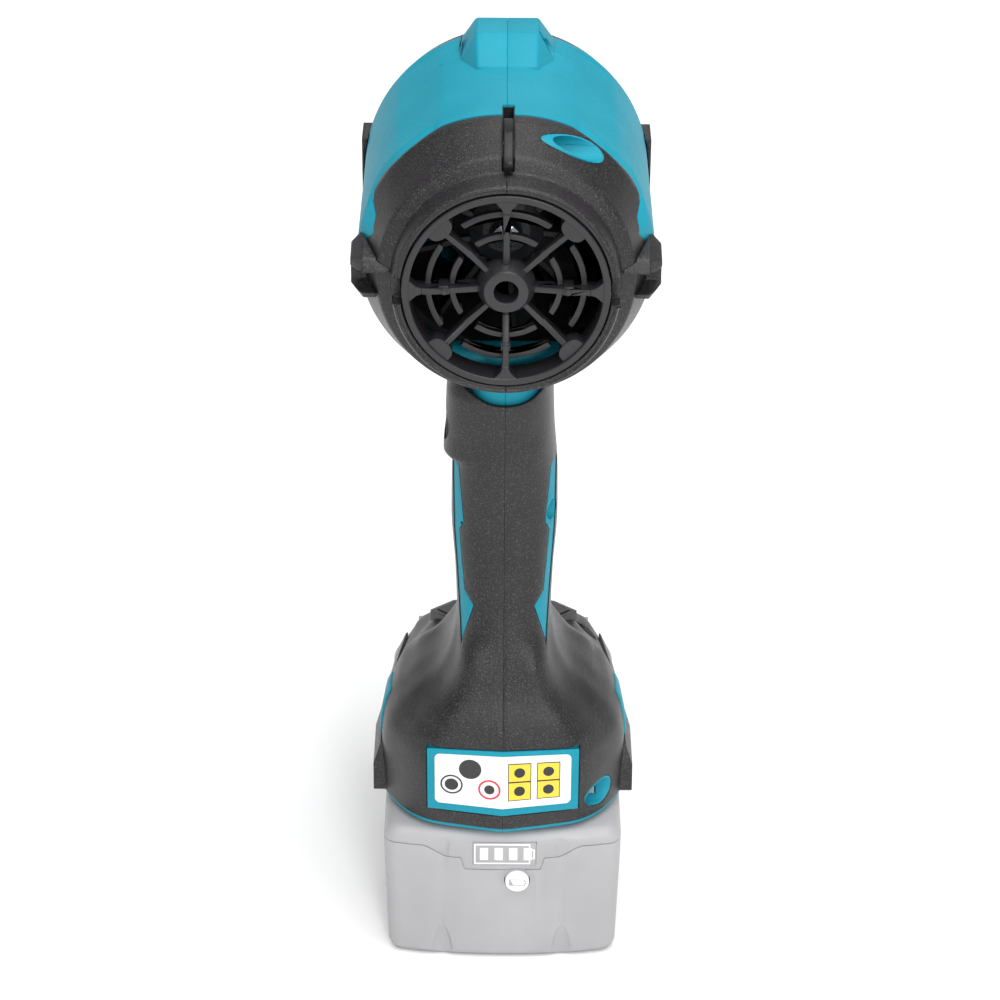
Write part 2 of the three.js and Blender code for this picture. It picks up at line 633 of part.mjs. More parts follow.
addPiece('fan_duct', fanDuct(), 'plastic');
addPiece('motor_mount_rear', mountRing(-17), 'rubber');
addPiece('motor_mount_front', mountRing(3), 'rubber');
addPiece('impeller', impeller(), 'pale');
addPiece('impeller_nut', turned([[0, -24], [4, -22.6], [5, -20], [5, -18.3], [SHAFT_R + GAP, -18.3],
  [SHAFT_R + GAP, -20.2], [0, -20.2]], 12), 'steel');
addPiece('rotor_shaft', rodY(SHAFT_R, -19.8, 29.6, 0, AXIS_Z, 16), 'steel');
addPiece('rotor_magnet', turned([
  [SHAFT_R + GAP, 3], [7.4, 3], [7.4, 19], [SHAFT_R + GAP, 19],
], 16), 'steel');
addPiece('stator', stator(), 'copper');
addPiece('bearing_rear', bearing(-2.6), 'steel');
addPiece('bearing_front', bearing(22.8), 'steel');
addPiece('motor_end_cap', motorEndCap(), 'plastic');

// ---- trigger, switch and buttons ----
function trigger() {
  const outline = [
    [-6, 168], [5, 168], [9.5, 170], [11, 173], [8.6, 181], [10.6, 189], [9, 192.4], [-6, 192.4],
  ];
  return plateX(outline, -TRIGGER_HALF, TRIGGER_HALF);
}
function switchBody() {
  return box(-6.2, 8, -30, -14.8, 168, 193).subtract(rodY(3.4, -26, -14, 1, 181, 16));
}
addPiece('trigger', trigger(), 'plastic');
addPiece('switch_plunger', rodY(3, -16.4, -6.3, 1, 181, 16), 'pale');
addPiece('switch_body', switchBody(), 'plastic');
addPiece('lock_on_button', rodX(LOCK_R, -17.8, -10.4, LOCK_Y, LOCK_Z, 20), 'plastic');
addPiece('control_panel', panelPlate(0, -1.2, 0.3).subtract(panelRod(4.6, -3, 2, 0))
  .subtract(panelRod(1.5, -3, 2, -14, 12)), 'plastic');
addPiece('mode_button', panelRod(4.2, -2, 1, 0), 'plastic');
addPiece('indicator_lens', panelRod(1.2, -1.2, 0.6, -14, 12), 'label');
addPiece('label_plate', labelPlate(0, 1, 0), 'label');

// ---- electronics in the foot ----
addPiece('controller_board', box(-20, 20, -32, 4, 76, 77.6), 'board');
addPiece('terminal_block', box(-21, 21, -45.5, -20, 66.6, 74), 'plastic');
for (const [name, side] of [['left', -1], ['right', 1]]) {
  const x = side * BLADE_X;
  addPiece(`terminal_blade_${name}`, box(x - 0.5, x + 0.5, -43, -27, 57.6, 66.3), 'brass');
}

// ---- battery ----
// A rounded rectangle in plan with a slightly curved back.
function batteryRing(z, halfWidth, back, front, inset) {
  const corner = 5;
  const bow = 3.2;
  const side = [];
  const half = halfWidth - inset;
  for (const share of [0.35, 0.7]) side.push([half * share, back + inset + bow * share ** 2]);
  const cornerY = back + inset + bow;
  side.push([half - corner, cornerY - 0.6], [half - 1.4, cornerY + 1.4], [half, cornerY + corner]);
  side.push([half, front - inset - corner], [half - 1.4, front - inset - 1.4], [half - corner, front - inset]);
  const right = side.map(([x, y]) => [x, y, z]);
  const left = side.map(([x, y]) => [-x, y, z]).reverse();
  return [[0, back + inset, z], ...right, ...left];
}
const BACK = -BATTERY_LENGTH / 2;
const FRONT = BATTERY_LENGTH / 2;
const HALF = BATTERY_WIDTH / 2;
const gaugeRecess = (grow, y0, y1) => box(-9 - grow, 10.3 + grow, y0, y1, 36.8 - grow, 44.8 + grow);
const CHECK_X = 4.7;
const CHECK_Z = 30.1;

function batteryCase() {
  const outside = loft([
    batteryRing(0, HALF - 2.2, BACK + 1.6, FRONT - 1.2, 0),
    batteryRing(1.4, HALF - 1.1, BACK + 0.5, FRONT - 0.4, 0),
    batteryRing(CASE_TOP_Z, HALF, BACK, FRONT, 0),
  ]);
  const inside = loft([
    batteryRing(2.4, HALF - 1.1, BACK, FRONT, 2.4),
    batteryRing(CASE_TOP_Z + 1, HALF, BACK, FRONT, 2.4),
  ]);
  return outside.subtract(inside).subtract(gaugeRecess(GAP, BACK - 5, BACK + 1.4))
    .subtract(rodY(4.2, BACK - 5, BACK + 6, CHECK_X, CHECK_Z, 20));
}
const POCKET_BACK = 49.4;
function batteryCover() {
  const seam = CASE_TOP_Z + GAP;
  const lid = loft([
    batteryRing(seam, HALF, BACK, FRONT, 0), batteryRing(COVER_TOP_Z - 1.4, HALF - 1, BACK + 0.8, FRONT, 0),
    batteryRing(COVER_TOP_Z, HALF - 3.6, BACK + 3, FRONT, 0),
  ]);
  const neck = box(-24.4, 24.4, -46.2, 47, COVER_TOP_Z - 1, RAIL_Z + 0.8);
  const head = box(-28.8, 28.8, -46.2, 47, RAIL_Z + 0.4, RAIL_BLOCK_TOP_Z);
  const prow = loft([
    batteryRing(COVER_TOP_Z - 1, 30, 46.6 - 3.2, FRONT, 0), batteryRing(60, 26, 46.6 - 3.2, FRONT - 2, 0),
  ].map((ring) => ring.map(([x, y, z]) => [x, Math.max(y, 46.6), z])));
  let cover = joined(lid, neck, head, prow);
  cover = cover.subtract(box(-21, 21, -42, 42, seam - 2, 60));
  cover = cover.subtract(box(-11.6, 11.6, POCKET_BACK, 70, 46.4, 80));
  for (const side of [-1, 1]) {
    cover = cover.subtract(box(side * BLADE_X - 1.6, side * BLADE_X + 1.6, -60, -24.5, 57.2, 80));
  }
  return cover.subtract(gaugeRecess(GAP, BACK - 5, BACK + 1.4));
}
function cellPack() {
  const [pitchY, pitchZ, radius] = [20.4, 19, 9.3];
  const parts = [];
  for (let column = -2; column <= 2; column += 1) {
    for (const row of [0, 1]) {
      parts.push(rodX(radius, -32.5, 32.5, column * pitchY, 12.6 + row * pitchZ, 8));
    }
  }
  for (const x of [-31, 29]) parts.push(box(x, x + 2, -50, 50, 5, 39));
  return joined(...parts);
}
function helix(radius, wire, turns, low, high, x, y) {
  const points = [];
  const steps = turns * 8;
  for (let i = 0; i <= steps; i += 1) {
    const angle = (2 * Math.PI * i * turns) / steps;
    const z = low + wire + ((high - low - 2 * wire) * i) / steps;
    points.push(new THREE.Vector3(x + radius * Math.cos(angle), y + radius * Math.sin(angle), z));
  }
  const section = new THREE.Shape();
  section.absarc(0, 0, wire, 0, 2 * Math.PI);
  return solid(new THREE.ExtrudeGeometry(section, {
    steps, curveSegments: 2, bevelEnabled: false, extrudePath: new THREE.CatmullRomCurve3(points),
  }));
}
addPiece('battery_case', batteryCase(), 'pale');
addPiece('battery_cover', batteryCover(), 'pale');
addPiece('cell_pack', cellPack(), 'cell');
addPiece('battery_board', box(-19, 19, -38, 38, 43.6, 45.2), 'board');
addPiece('release_button', box(-11.2, 11.2, POCKET_BACK + GAP, 57.6, 52.2, 60.6), 'pale');
addPiece('release_spring', helix(3.2, 0.5, 4, 46.7, 51.9, 0, 53.6), 'steel');
addPiece('check_button', rodY(3.8, BACK - 0.3, BACK + 4.4, CHECK_X, CHECK_Z, 20), 'pale');
addPiece('gauge_window', gaugeRecess(0, BACK + 0.3, BACK + 1.1), 'plastic');

export default group;
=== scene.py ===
"""Finish of a cordless dust blower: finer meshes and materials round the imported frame.

Lengths here are in millimetres and become metres when a mesh is made. +X is the user's
right, +Y the way the air blows, +Z up.
"""
import math

import bmesh
import bpy
from mathutils import Matrix, Vector


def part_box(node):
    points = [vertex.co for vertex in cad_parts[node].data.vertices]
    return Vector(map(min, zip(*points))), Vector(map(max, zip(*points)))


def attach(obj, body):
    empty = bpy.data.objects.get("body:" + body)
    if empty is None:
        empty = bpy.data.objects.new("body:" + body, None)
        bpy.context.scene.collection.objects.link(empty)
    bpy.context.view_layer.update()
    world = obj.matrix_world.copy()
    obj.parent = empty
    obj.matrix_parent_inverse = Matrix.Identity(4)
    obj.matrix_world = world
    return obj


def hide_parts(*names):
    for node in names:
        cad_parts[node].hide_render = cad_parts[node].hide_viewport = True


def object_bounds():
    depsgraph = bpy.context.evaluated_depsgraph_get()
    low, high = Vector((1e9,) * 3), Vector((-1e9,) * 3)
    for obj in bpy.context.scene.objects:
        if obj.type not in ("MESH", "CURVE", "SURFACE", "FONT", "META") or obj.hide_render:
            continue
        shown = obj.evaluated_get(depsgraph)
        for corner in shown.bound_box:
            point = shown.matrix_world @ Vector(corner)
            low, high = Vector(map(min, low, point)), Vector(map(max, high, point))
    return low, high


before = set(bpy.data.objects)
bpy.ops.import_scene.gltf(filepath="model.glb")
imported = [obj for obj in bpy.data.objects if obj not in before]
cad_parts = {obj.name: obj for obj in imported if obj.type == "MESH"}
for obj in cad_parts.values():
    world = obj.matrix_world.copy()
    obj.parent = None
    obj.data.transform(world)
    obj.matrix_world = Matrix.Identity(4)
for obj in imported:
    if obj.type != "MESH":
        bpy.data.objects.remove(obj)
CAD_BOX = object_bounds()
MM = 0.001


def corners(node):
    """Lowest and highest corner of a CAD node, in millimetres."""
    low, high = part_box(node)
    return Vector(low) / MM, Vector(high) / MM


def centre(node):
    """Centre of a CAD node, in millimetres."""
    low, high = corners(node)
    return [(a + b) / 2 for a, b in zip(low, high)]


# ---- driving sizes, from the frame ----
GRILLE_LOW, GRILLE_HIGH = corners("inlet_grille")
BATTERY_LOW, BATTERY_HIGH = corners("battery_case")
CHECK_LOW, CHECK_HIGH = corners("check_button")
GAUGE_LOW, GAUGE_HIGH = corners("gauge_window")
HOOK_LOW, HOOK_HIGH = corners("hanging_hook")
_, PIVOT_Y, PIVOT_Z = centre("hook_pivot_screw")
_, LOCK_Y, LOCK_Z = centre("lock_on_button")
_, HEEL_Y, HEEL_Z = centre("housing_screw_heel")
CHECK_X, _, CHECK_Z = centre("check_button")

AXIS_Z = (GRILLE_LOW.z + GRILLE_HIGH.z) / 2
INLET_Y = GRILLE_LOW.y
GRILLE_R = GRILLE_HIGH.x
NOZZLE_TIP_Y = corners("nozzle")[1].y
GRIP_TOP_Z = corners("grip_skin_left")[1].z
BATTERY_HALF = BATTERY_HIGH.x
BACK = BATTERY_LOW.y
FRONT = BATTERY_HIGH.y
CASE_TOP_Z = BATTERY_HIGH.z
RAIL_TOP_Z = corners("battery_cover")[1].z

# Sizes that the frame's boxes don't give.
BARREL_R = 43.4
BARREL_FRONT_Y = 36.0
COWL_FRONT_Y = -34.0
CONE_REAR_Y = -50.1
NOSE_Y = 44.0
WALL = 2.5
SKIN = 1.5
SEAM = 0.03
GAP = 0.3
HEAD_R = 2.8
HOOK_X = 0.4
SLOT_HALF = 1.75
MOUTH_Z = AXIS_Z + 35.6
BASE_Z = 50.0
LABEL_HALF = 23.5
LABEL_LOW_Z = 57.3
LABEL_TALL = 22.7
COVER_TOP_Z = 48.0
FAR = 400.0
SIDES = ((-1, "left"), (1, "right"))


# ---- mesh tools ----
def make(verts, faces):
    mesh = bpy.data.meshes.new("shape")
    mesh.from_pydata([[c * MM for c in v] for v in verts], [], faces)
    bm = bmesh.new()
    bm.from_mesh(mesh)
    bmesh.ops.remove_doubles(bm, verts=bm.verts, dist=1e-6)
    bmesh.ops.recalc_face_normals(bm, faces=bm.faces)
    bm.to_mesh(mesh)
    bm.free()
    obj = bpy.data.objects.new("shape", mesh)
    bpy.context.scene.collection.objects.link(obj)
    return obj


def loft(rings):
    """Rings of [x, y, z] points, all of one length, joined and capped."""
    count = len(rings[0])
    verts = [point for ring in rings for point in ring]
    faces = []
    for r in range(len(rings) - 1):
        for i in range(count):
            a, b = r * count + i, r * count + (i + 1) % count
            faces.append((a, b, b + count, a + count))
    for ring, first in ((rings[0], 0), (rings[-1], (len(rings) - 1) * count)):
        verts.append([sum(p[k] for p in ring) / count for k in range(3)])
        middle = len(verts) - 1
        for i in range(count):
            faces.append((middle, first + i, first + (i + 1) % count))
    return make(verts, faces)


def revolve(rows, segments):
    """A closed ring of profiles: rows(angle) lists [radius, y] for an angle from the top."""
    verts, faces = [], []
    count = len(rows(0.0))
    for k in range(segments):
        angle = 2 * math.pi * k / segments
        for radius, y in rows(angle):
            verts.append((radius * math.sin(angle), y, AXIS_Z + radius * math.cos(angle)))
    for k in range(segments):
        a0, b0 = k * count, (k + 1) % segments * count
        for i in range(count):
            j = (i + 1) % count
            faces.append((a0 + i, a0 + j, b0 + j, b0 + i))
    return make(verts, faces)


def turned(profile):
    return revolve(lambda angle: profile, 144)


def circle(a, b, radius, count=40, squash=1.0):
    """Points round (a, b); squash flattens the circle along its second coordinate."""
    turns = [2 * math.pi * k / count for k in range(count)]
    return [(a + radius * math.cos(t), b + squash * radius * math.sin(t)) for t in turns]


def fillet(profile, radius, steps=4):
    """Rounds the corners of a closed [a, b] outline that aren't on its axis."""
    out = []
    count = len(profile)
    for i, point in enumerate(profile):
        p = Vector(point)
        before = Vector(profile[i - 1]) - p
        after = Vector(profile[(i + 1) % count]) - p
        reach = min(radius, before.length * 0.45, after.length * 0.45)
        if point[0] == 0 or reach < 0.02:
            out.append(tuple(p))
            continue
        start, end = p + before.normalized() * reach, p + after.normalized() * reach
        for k in range(steps + 1):
            t = k / steps
            out.append(tuple(start * (1 - t) ** 2 + p * 2 * t * (1 - t) + end * t ** 2))
    return out


def box(x0, x1, y0, y1, z0, z1):
    return loft([[(x0, y0, z), (x1, y0, z), (x1, y1, z), (x0, y1, z)] for z in (z0, z1)])


def rod(axis, radius, low, high, a, b, segments=48):
    """A round bar along X or Y; a and b are its other two coordinates in order."""
    rings = []
    for at in (low, high):
        around = circle(a, b, radius, segments)
        rings.append([(at, u, v) if axis == "x" else (u, at, v) for u, v in around])
    return loft(rings)


def plate_x(outline, x0, x1):
    return loft([[(x, y, z) for y, z in outline] for x in (x0, x1)])


def plate_y(outline, y0, y1):
    return loft([[(x, y, z) for x, z in outline] for y in (y0, y1)])


def dish(x, z, levels):
    """A round solid along Y: levels are [y, radius]."""
    return loft([[(u, y, v) for u, v in circle(x, z, radius, 48)] for y, radius in levels])


def combine(base, operation, *tools):
    """Applies a boolean with each tool in turn, and uses the tools up."""
    for tool in tools:
        modifier = base.modifiers.new("combine", "BOOLEAN")
        modifier.operation = operation
        modifier.solver = "MANIFOLD"
        modifier.object = tool
    graph = bpy.context.evaluated_depsgraph_get()
    mesh = bpy.data.meshes.new_from_object(base.evaluated_get(graph))
    base.modifiers.clear()
    base.data = mesh
    for tool in tools:
        bpy.data.objects.remove(tool)
    return base


def joined(first, *others):
    return combine(first, "UNION", *others)


def cut(base, *tools):
    return combine(base, "DIFFERENCE", *tools)


def common(base, *tools):
    return combine(base, "INTERSECT", *tools)


def copy_of(obj):
    other = obj.copy()
    other.data = obj.data.copy()
    bpy.context.scene.collection.objects.link(other)
    return other


def halves(obj):
    """The left and the right half of a shape, split along the middle plane."""
    other = copy_of(obj)
    left = common(obj, box(-FAR, -SEAM / 2, -FAR, FAR, -FAR, FAR))
    right = common(other, box(SEAM / 2, FAR, -FAR, FAR, -FAR, FAR))
    return left, right


def moved(obj, matrix):
    """Moves a shape's points by a matrix in millimetres."""
    scale = Matrix.Scale(MM, 4)
    obj.data.transform(scale @ matrix @ scale.inverted())
    return obj


def rounded(block, width):
    """The same shape with its sharper edges rounded off."""
    bevel = block.modifiers.new("edges", "BEVEL")
    bevel.width = width * MM
    bevel.segments = 3
    bevel.angle_limit = math.radians(25)
    return combine(block, "UNION")


def smoothstep(value, low, high):
    t = min(1.0, max(0.0, (value - low) / (high - low)))
    return t * t * (3 - 2 * t)


def along(points, value):
    """Straight-line interpolation in a list of (position, value) points."""
    if value <= points[0][0]:
        return points[0][1]
    for (a, low), (b, high) in zip(points, points[1:]):
        if value <= b:
            return low + (high - low) * (value - a) / (b - a)
    return points[-1][1]


# ---- materials ----
def new_material(name):
    material = bpy.data.materials.new(name)
    material.use_nodes = True
    nodes = material.node_tree.nodes
    nodes.clear()
    output = nodes.new("ShaderNodeOutputMaterial")
    shader = nodes.new("ShaderNodeBsdfPrincipled")
    material.node_tree.links.new(shader.outputs[0], output.inputs[0])
    coordinate = nodes.new("ShaderNodeTexCoord")
    return material, shader, coordinate


def noise(material, coordinate, scale, detail):
    """Noise in the object's own metres: scale is in cells per metre."""
    texture = material.node_tree.nodes.new("ShaderNodeTexNoise")
    texture.inputs["Scale"].default_value = scale
    texture.inputs["Detail"].default_value = detail
    material.node_tree.links.new(coordinate.outputs["Object"], texture.inputs["Vector"])
    return texture.outputs["Fac"]


def ramp(material, source, stops):
    """A colour ramp: stops are (position, (r, g, b))."""
    node = material.node_tree.nodes.new("ShaderNodeValToRGB")
    elements = node.color_ramp.elements
    elements[0].position, elements[1].position = stops[0][0], stops[-1][0]
    for _ in stops[1:-1]:
        elements.new(0.5)
    for element, (position, colour) in zip(elements, stops):
        element.position = position
        element.color = (*colour, 1)
    material.node_tree.links.new(source, node.inputs[0])
    return node.outputs[0]


def spread(material, source, low, high):
    """A number that follows a noise between low and high."""
    node = material.node_tree.nodes.new("ShaderNodeMapRange")
    values = {"From Min": 0.3, "From Max": 0.7, "To Min": low, "To Max": high}
    for name, value in values.items():
        node.inputs[name].default_value = value
    material.node_tree.links.new(source, node.inputs["Value"])
    return node.outputs[0]


def bump(material, source, distance):
    node = material.node_tree.nodes.new("ShaderNodeBump")
    node.inputs["Strength"].default_value = 1.0
    node.inputs["Distance"].default_value = distance * MM
    material.node_tree.links.new(source, node.inputs["Height"])
    return node.outputs[0]


def moulded(name, dark, light, rough, grain, grain_height, patch=60.0, painted_glints=None,
            metallic=0.0, coat=0.0, gloss=0.5):
    """A moulded or cast surface: soft patches of colour over a fine grain.

    rough is the lowest and highest roughness, patch and grain are in cells per metre,
    grain_height is in millimetres, and painted_glints is an optional (colour, share) for
    bright specks mixed into the colour where the grain is high: painted glints of light.
    bright specks in the grain.
    """
    material, shader, coordinate = new_material(name)
    links = material.node_tree.links
    patches = noise(material, coordinate, patch, 3)
    grains = noise(material, coordinate, grain, 2)
    colour = ramp(material, patches, [(0.3, dark), (0.7, light)])
    # Painted glints: bright specks mixed into the base colour where the grain is high.
    if painted_glints:
        glint_colour, share = painted_glints
        glint_mask = ramp(material, grains, [(1 - share, (0, 0, 0)), (1 - share * 0.55, (1, 1, 1))])
        mix = material.node_tree.nodes.new("ShaderNodeMix")
        mix.data_type = "RGBA"
        mix.inputs[7].default_value = (*glint_colour, 1)
        links.new(glint_mask, mix.inputs[0])
        links.new(colour, mix.inputs[6])
        colour = mix.outputs[2]
    links.new(colour, shader.inputs["Base Color"])
    links.new(spread(material, grains, rough[0], rough[1]), shader.inputs["Roughness"])
    links.new(bump(material, grains, grain_height), shader.inputs["Normal"])
    shader.inputs["Metallic"].default_value = metallic
    shader.inputs["Coat Weight"].default_value = coat
    shader.inputs["Specular IOR Level"].default_value = gloss
    return material


MATERIALS = {
    "teal": moulded("teal_plastic", (0.010, 0.262, 0.356), (0.014, 0.290, 0.392),
                    (0.44, 0.58), 1500, 0.02, gloss=0.16),
    # The elastomer's bright specks are painted glints of light off its grain.
    "rubber": moulded("elastomer", (0.012, 0.011, 0.012), (0.018, 0.0165, 0.018),
                      (0.28, 0.48), 2300, 0.2, painted_glints=((0.085, 0.081, 0.085), 0.46), gloss=0.4),
    "black": moulded("black_plastic", (0.014, 0.013, 0.015), (0.020, 0.019, 0.021),
                     (0.34, 0.5), 1400, 0.03),
    "hook": moulded("hook_steel", (0.008, 0.008, 0.009), (0.014, 0.014, 0.015),
                    (0.3, 0.42), 900, 0.01, gloss=0.25),
    "steel": moulded("steel", (0.42, 0.43, 0.45), (0.55, 0.56, 0.58),
                     (0.24, 0.42), 1200, 0.01, metallic=1.0),
    "mount_rubber": moulded("motor_rubber", (0.020, 0.020, 0.020), (0.03, 0.03, 0.03),
                            (0.6, 0.85), 900, 0.05),
    "pale": moulded("pale_plastic", (0.375, 0.37, 0.38), (0.405, 0.40, 0.41),
                    (0.38, 0.5), 1200, 0.012),
    "fan": moulded("fan_plastic", (0.020, 0.021, 0.023), (0.030, 0.031, 0.033),
                   (0.32, 0.48), 900, 0.02),
    "film": moulded("label_film", (0.86, 0.87, 0.88), (0.90, 0.905, 0.91),
                    (0.25, 0.35), 500, 0.004),
    "ink": moulded("label_ink", (0.020, 0.020, 0.022), (0.030, 0.030, 0.032),
                   (0.35, 0.5), 700, 0.004),
    "yellow": moulded("label_yellow", (0.88, 0.62, 0.04), (0.93, 0.68, 0.06),
                      (0.3, 0.4), 700, 0.004),
    "red": moulded("label_red", (0.60, 0.03, 0.05), (0.68, 0.05, 0.07),
                   (0.3, 0.4), 700, 0.004),
    "white": moulded("white_print", (0.90, 0.90, 0.90), (0.95, 0.95, 0.95),
                     (0.3, 0.4), 700, 0.004),
    "board": moulded("circuit_board", (0.010, 0.09, 0.035), (0.018, 0.14, 0.05),
                     (0.3, 0.5), 350, 0.03, patch=400),
    "brass": moulded("contact_brass", (0.60, 0.42, 0.14), (0.72, 0.52, 0.20),
                     (0.22, 0.4), 1300, 0.01, metallic=1.0),
    "cell": moulded("cell_wrap", (0.02, 0.16, 0.10), (0.03, 0.21, 0.13),
                    (0.28, 0.4), 500, 0.02),
    "lens": moulded("lens", (0.80, 0.82, 0.84), (0.90, 0.92, 0.94),
                    (0.08, 0.16), 500, 0.003, coat=0.6),
}


def winding_material():
    """Enamelled copper wire laid round the motor's axis."""
    material, shader, coordinate = new_material("winding")
    nodes, links = material.node_tree.nodes, material.node_tree.links
    wave = nodes.new("ShaderNodeTexWave")
    wave.bands_direction = "Y"
    wave.inputs["Scale"].default_value = 180
    wave.inputs["Distortion"].default_value = 1.2
    links.new(coordinate.outputs["Object"], wave.inputs["Vector"])
    stops = [(0.1, (0.20, 0.06, 0.02)), (0.8, (0.62, 0.25, 0.09))]
    colour = ramp(material, wave.outputs["Fac"], stops)
    links.new(colour, shader.inputs["Base Color"])
    links.new(bump(material, wave.outputs["Fac"], 0.25), shader.inputs["Normal"])
    shader.inputs["Metallic"].default_value = 1.0
    shader.inputs["Roughness"].default_value = 0.36
    return material


MATERIALS["winding"] = winding_material()


# ---- finishing a piece ----
def smooth_group(angle):
    """A node group that shades a mesh smooth except at edges sharper than angle."""
    name = f"smooth_{angle}"
    if name in bpy.data.node_groups:
        return bpy.data.node_groups[name]
    group = bpy.data.node_groups.new(name, "GeometryNodeTree")
    group.interface.new_socket("Geometry", in_out="INPUT", socket_type="NodeSocketGeometry")
    group.interface.new_socket("Geometry", in_out="OUTPUT", socket_type="NodeSocketGeometry")
    nodes, links = group.nodes, group.links
    source, result = nodes.new("NodeGroupInput"), nodes.new("NodeGroupOutput")
    faces, edges = nodes.new("GeometryNodeSetShadeSmooth"), nodes.new("GeometryNodeSetShadeSmooth")
    edges.domain = "EDGE"
    bend, below = nodes.new("GeometryNodeInputMeshEdgeAngle"), nodes.new("FunctionNodeCompare")
    below.operation = "LESS_THAN"
    below.inputs[1].default_value = math.radians(angle)
    links.new(source.outputs[0], faces.inputs["Geometry"])
    links.new(faces.outputs[0], edges.inputs["Geometry"])
    links.new(bend.outputs["Unsigned Angle"], below.inputs[0])
    links.new(below.outputs[0], edges.inputs["Shade Smooth"])
    links.new(edges.outputs[0], result.inputs[0])
    return group


def soften(obj, width=0.2, segments=2, angle=38):
    """Rounded edges and smooth shading, as modifiers."""
    if width:
        bevel = obj.modifiers.new("edges", "BEVEL")
        bevel.width = width * MM
        bevel.segments = segments
        bevel.limit_method = "ANGLE"
        bevel.angle_limit = math.radians(angle)
        bevel.use_clamp_overlap = False
    shade = obj.modifiers.new("shading", "NODES")
    shade.node_group = smooth_group(angle)


def piece(obj, name, look, body="tool", replaces=(), width=0.2, segments=2, angle=38):
    """Names a shape, gives it its look and ties it to a body and the nodes it replaces."""
    obj.name = name
    obj.data.name = name
    obj.data.materials.clear()
    obj.data.materials.append(MATERIALS[look])
    soften(obj, width, segments, angle)
    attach(obj, body)
    if replaces:
        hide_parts(*replaces)
    return obj


# ---- handle and foot ----
# Stations of the handle: z, rear y, front y, half width.
HANDLE = [
    (203, -40.5, 8, 15), (191, -40, 4, 14.7), (176, -38.5, 2.5, 15.1), (158, -38, 2, 16.3),
    (145, -38.5, 1, 16.4), (127, -41, -0.5, 15.2), (113, -44.5, 0, 14.7),
]
# Stations of the foot: z, rear y, rear corner x and y, half widths at y -20, near y 0 and
# at the front, front y.
FOOT = [
    (50, -60, 35.5, -42, 39.4, 38.4, 36.3, 46), (67, -59.4, 35.5, -42, 39, 37.6, 28.5, 45),
    (74, -58.6, 34.5, -41, 37.8, 35.4, 20, 41), (80, -57.4, 31, -40, 34.6, 32.5, 18, 32),
    (85, -56, 27, -39, 30, 28, 16, 12), (95, -51, 18.4, -38, 19.6, 18, 12, 4),
    (104, -47.5, 14.6, -37, 15.8, 13.6, 9, 1),
]
GRIP_POINTS = 120


def handle_outline(rear, front, half, inset):
    squareness = 0.72
    middle = (rear + front) / 2
    outline = []
    for k in range(96):
        angle = 2 * math.pi * k / 96
        c, s = math.cos(angle), math.sin(angle)
        x = (half - inset) * math.copysign(abs(c) ** squareness, c)
        y = middle + ((front - rear) / 2 - inset) * math.copysign(abs(s) ** squareness, s)
        outline.append((x, y))
    return outline


def crease_depth(z):
    """How far the creased back has fallen away at the label's outer edges."""
    return 4.4 - 2.6 * (z - LABEL_LOW_Z) / LABEL_TALL


def foot_outline(z, rear, corner_x, corner_y, half, mid, fore, front, inset):
    corner_x, corner_y = corner_x - inset, corner_y + inset / 2
    back = rear + inset
    facet, edge = min(LABEL_HALF, corner_x * 0.72), back + crease_depth(z)
    side = [(facet, edge), ((facet + corner_x) / 2 + 1, (edge + corner_y) / 2 - 1)]
    side.append((corner_x, corner_y))
    side.append(((half - inset + corner_x) / 2 + 1, corner_y + (-20 - corner_y) * 0.3))
    side.append((half - inset, -20))
    side.append((mid - inset, min(0, front - inset - 4)))
    side.append((fore - inset, front - inset - 3))
    side.append(((fore - inset) * 0.7, front - inset))
    return [(0, back)] + side + [(-x, y) for x, y in reversed(side)]


def at_equal_angles(outline, middle):
    """An outline's points where it crosses equally spaced rays from (0, middle)."""
    ring = []
    for k in range(GRIP_POINTS):
        angle = 2 * math.pi * k / GRIP_POINTS
        ray = Vector((math.sin(angle), -math.cos(angle)))
        best = 0
        for i, start in enumerate(outline):
            a = Vector(outline[i - 1]) - Vector((0, middle))
            b = Vector(start) - Vector((0, middle))
            side = b - a
            turn = ray.x * side.y - ray.y * side.x
            if abs(turn) < 1e-9:
                continue
            distance = (a.x * side.y - a.y * side.x) / turn
            share = (a.x * ray.y - a.y * ray.x) / turn
            if -1e-9 <= share <= 1 + 1e-9 and distance > best:
                best = distance
        ring.append((ray.x * best, middle + ray.y * best))
    return ring


def rounded_ring(ring):
    """Softens the corners of a closed ring by averaging neighbours twice."""
    for _ in range(2):
        count = len(ring)
        ring = [
            tuple((ring[i - 1][k] + 2 * ring[i][k] + ring[(i + 1) % count][k]) / 4 for k in (0, 1))
            for i in range(count)
        ]
    return ring


def eased(stations, steps):
    """Rings between stations (z, ring) on a smooth curve that doesn't overshoot."""
    def slope(i, p, k):
        if i == 0 or i == len(stations) - 1:
            return 0.0
        (z0, a), (z1, b), (z2, c) = stations[i - 1:i + 2]
        left = (b[p][k] - a[p][k]) / (z1 - z0)
        right = (c[p][k] - b[p][k]) / (z2 - z1)
        return 0.0 if left * right <= 0 else 2 * left * right / (left + right)

    rings = []
    for i in range(len(stations) - 1):
        (z0, a), (z1, b) = stations[i:i + 2]
        rise = z1 - z0
        for step in range(steps):
            t = step / steps
            h = (2 * t**3 - 3 * t**2 + 1, t**3 - 2 * t**2 + t, 3 * t**2 - 2 * t**3, t**3 - t**2)
            ring = []
            for p in range(len(a)):
                ring.append(tuple(
                    h[0] * a[p][k] + h[1] * rise * slope(i, p, k)
                    + h[2] * b[p][k] + h[3] * rise * slope(i + 1, p, k) for k in (0, 1)
                ))
            rings.append([(x, y, z0 + rise * t) for x, y in ring])
    z, ring = stations[-1]
    rings.append([(x, y, z) for x, y in ring])
    return rings


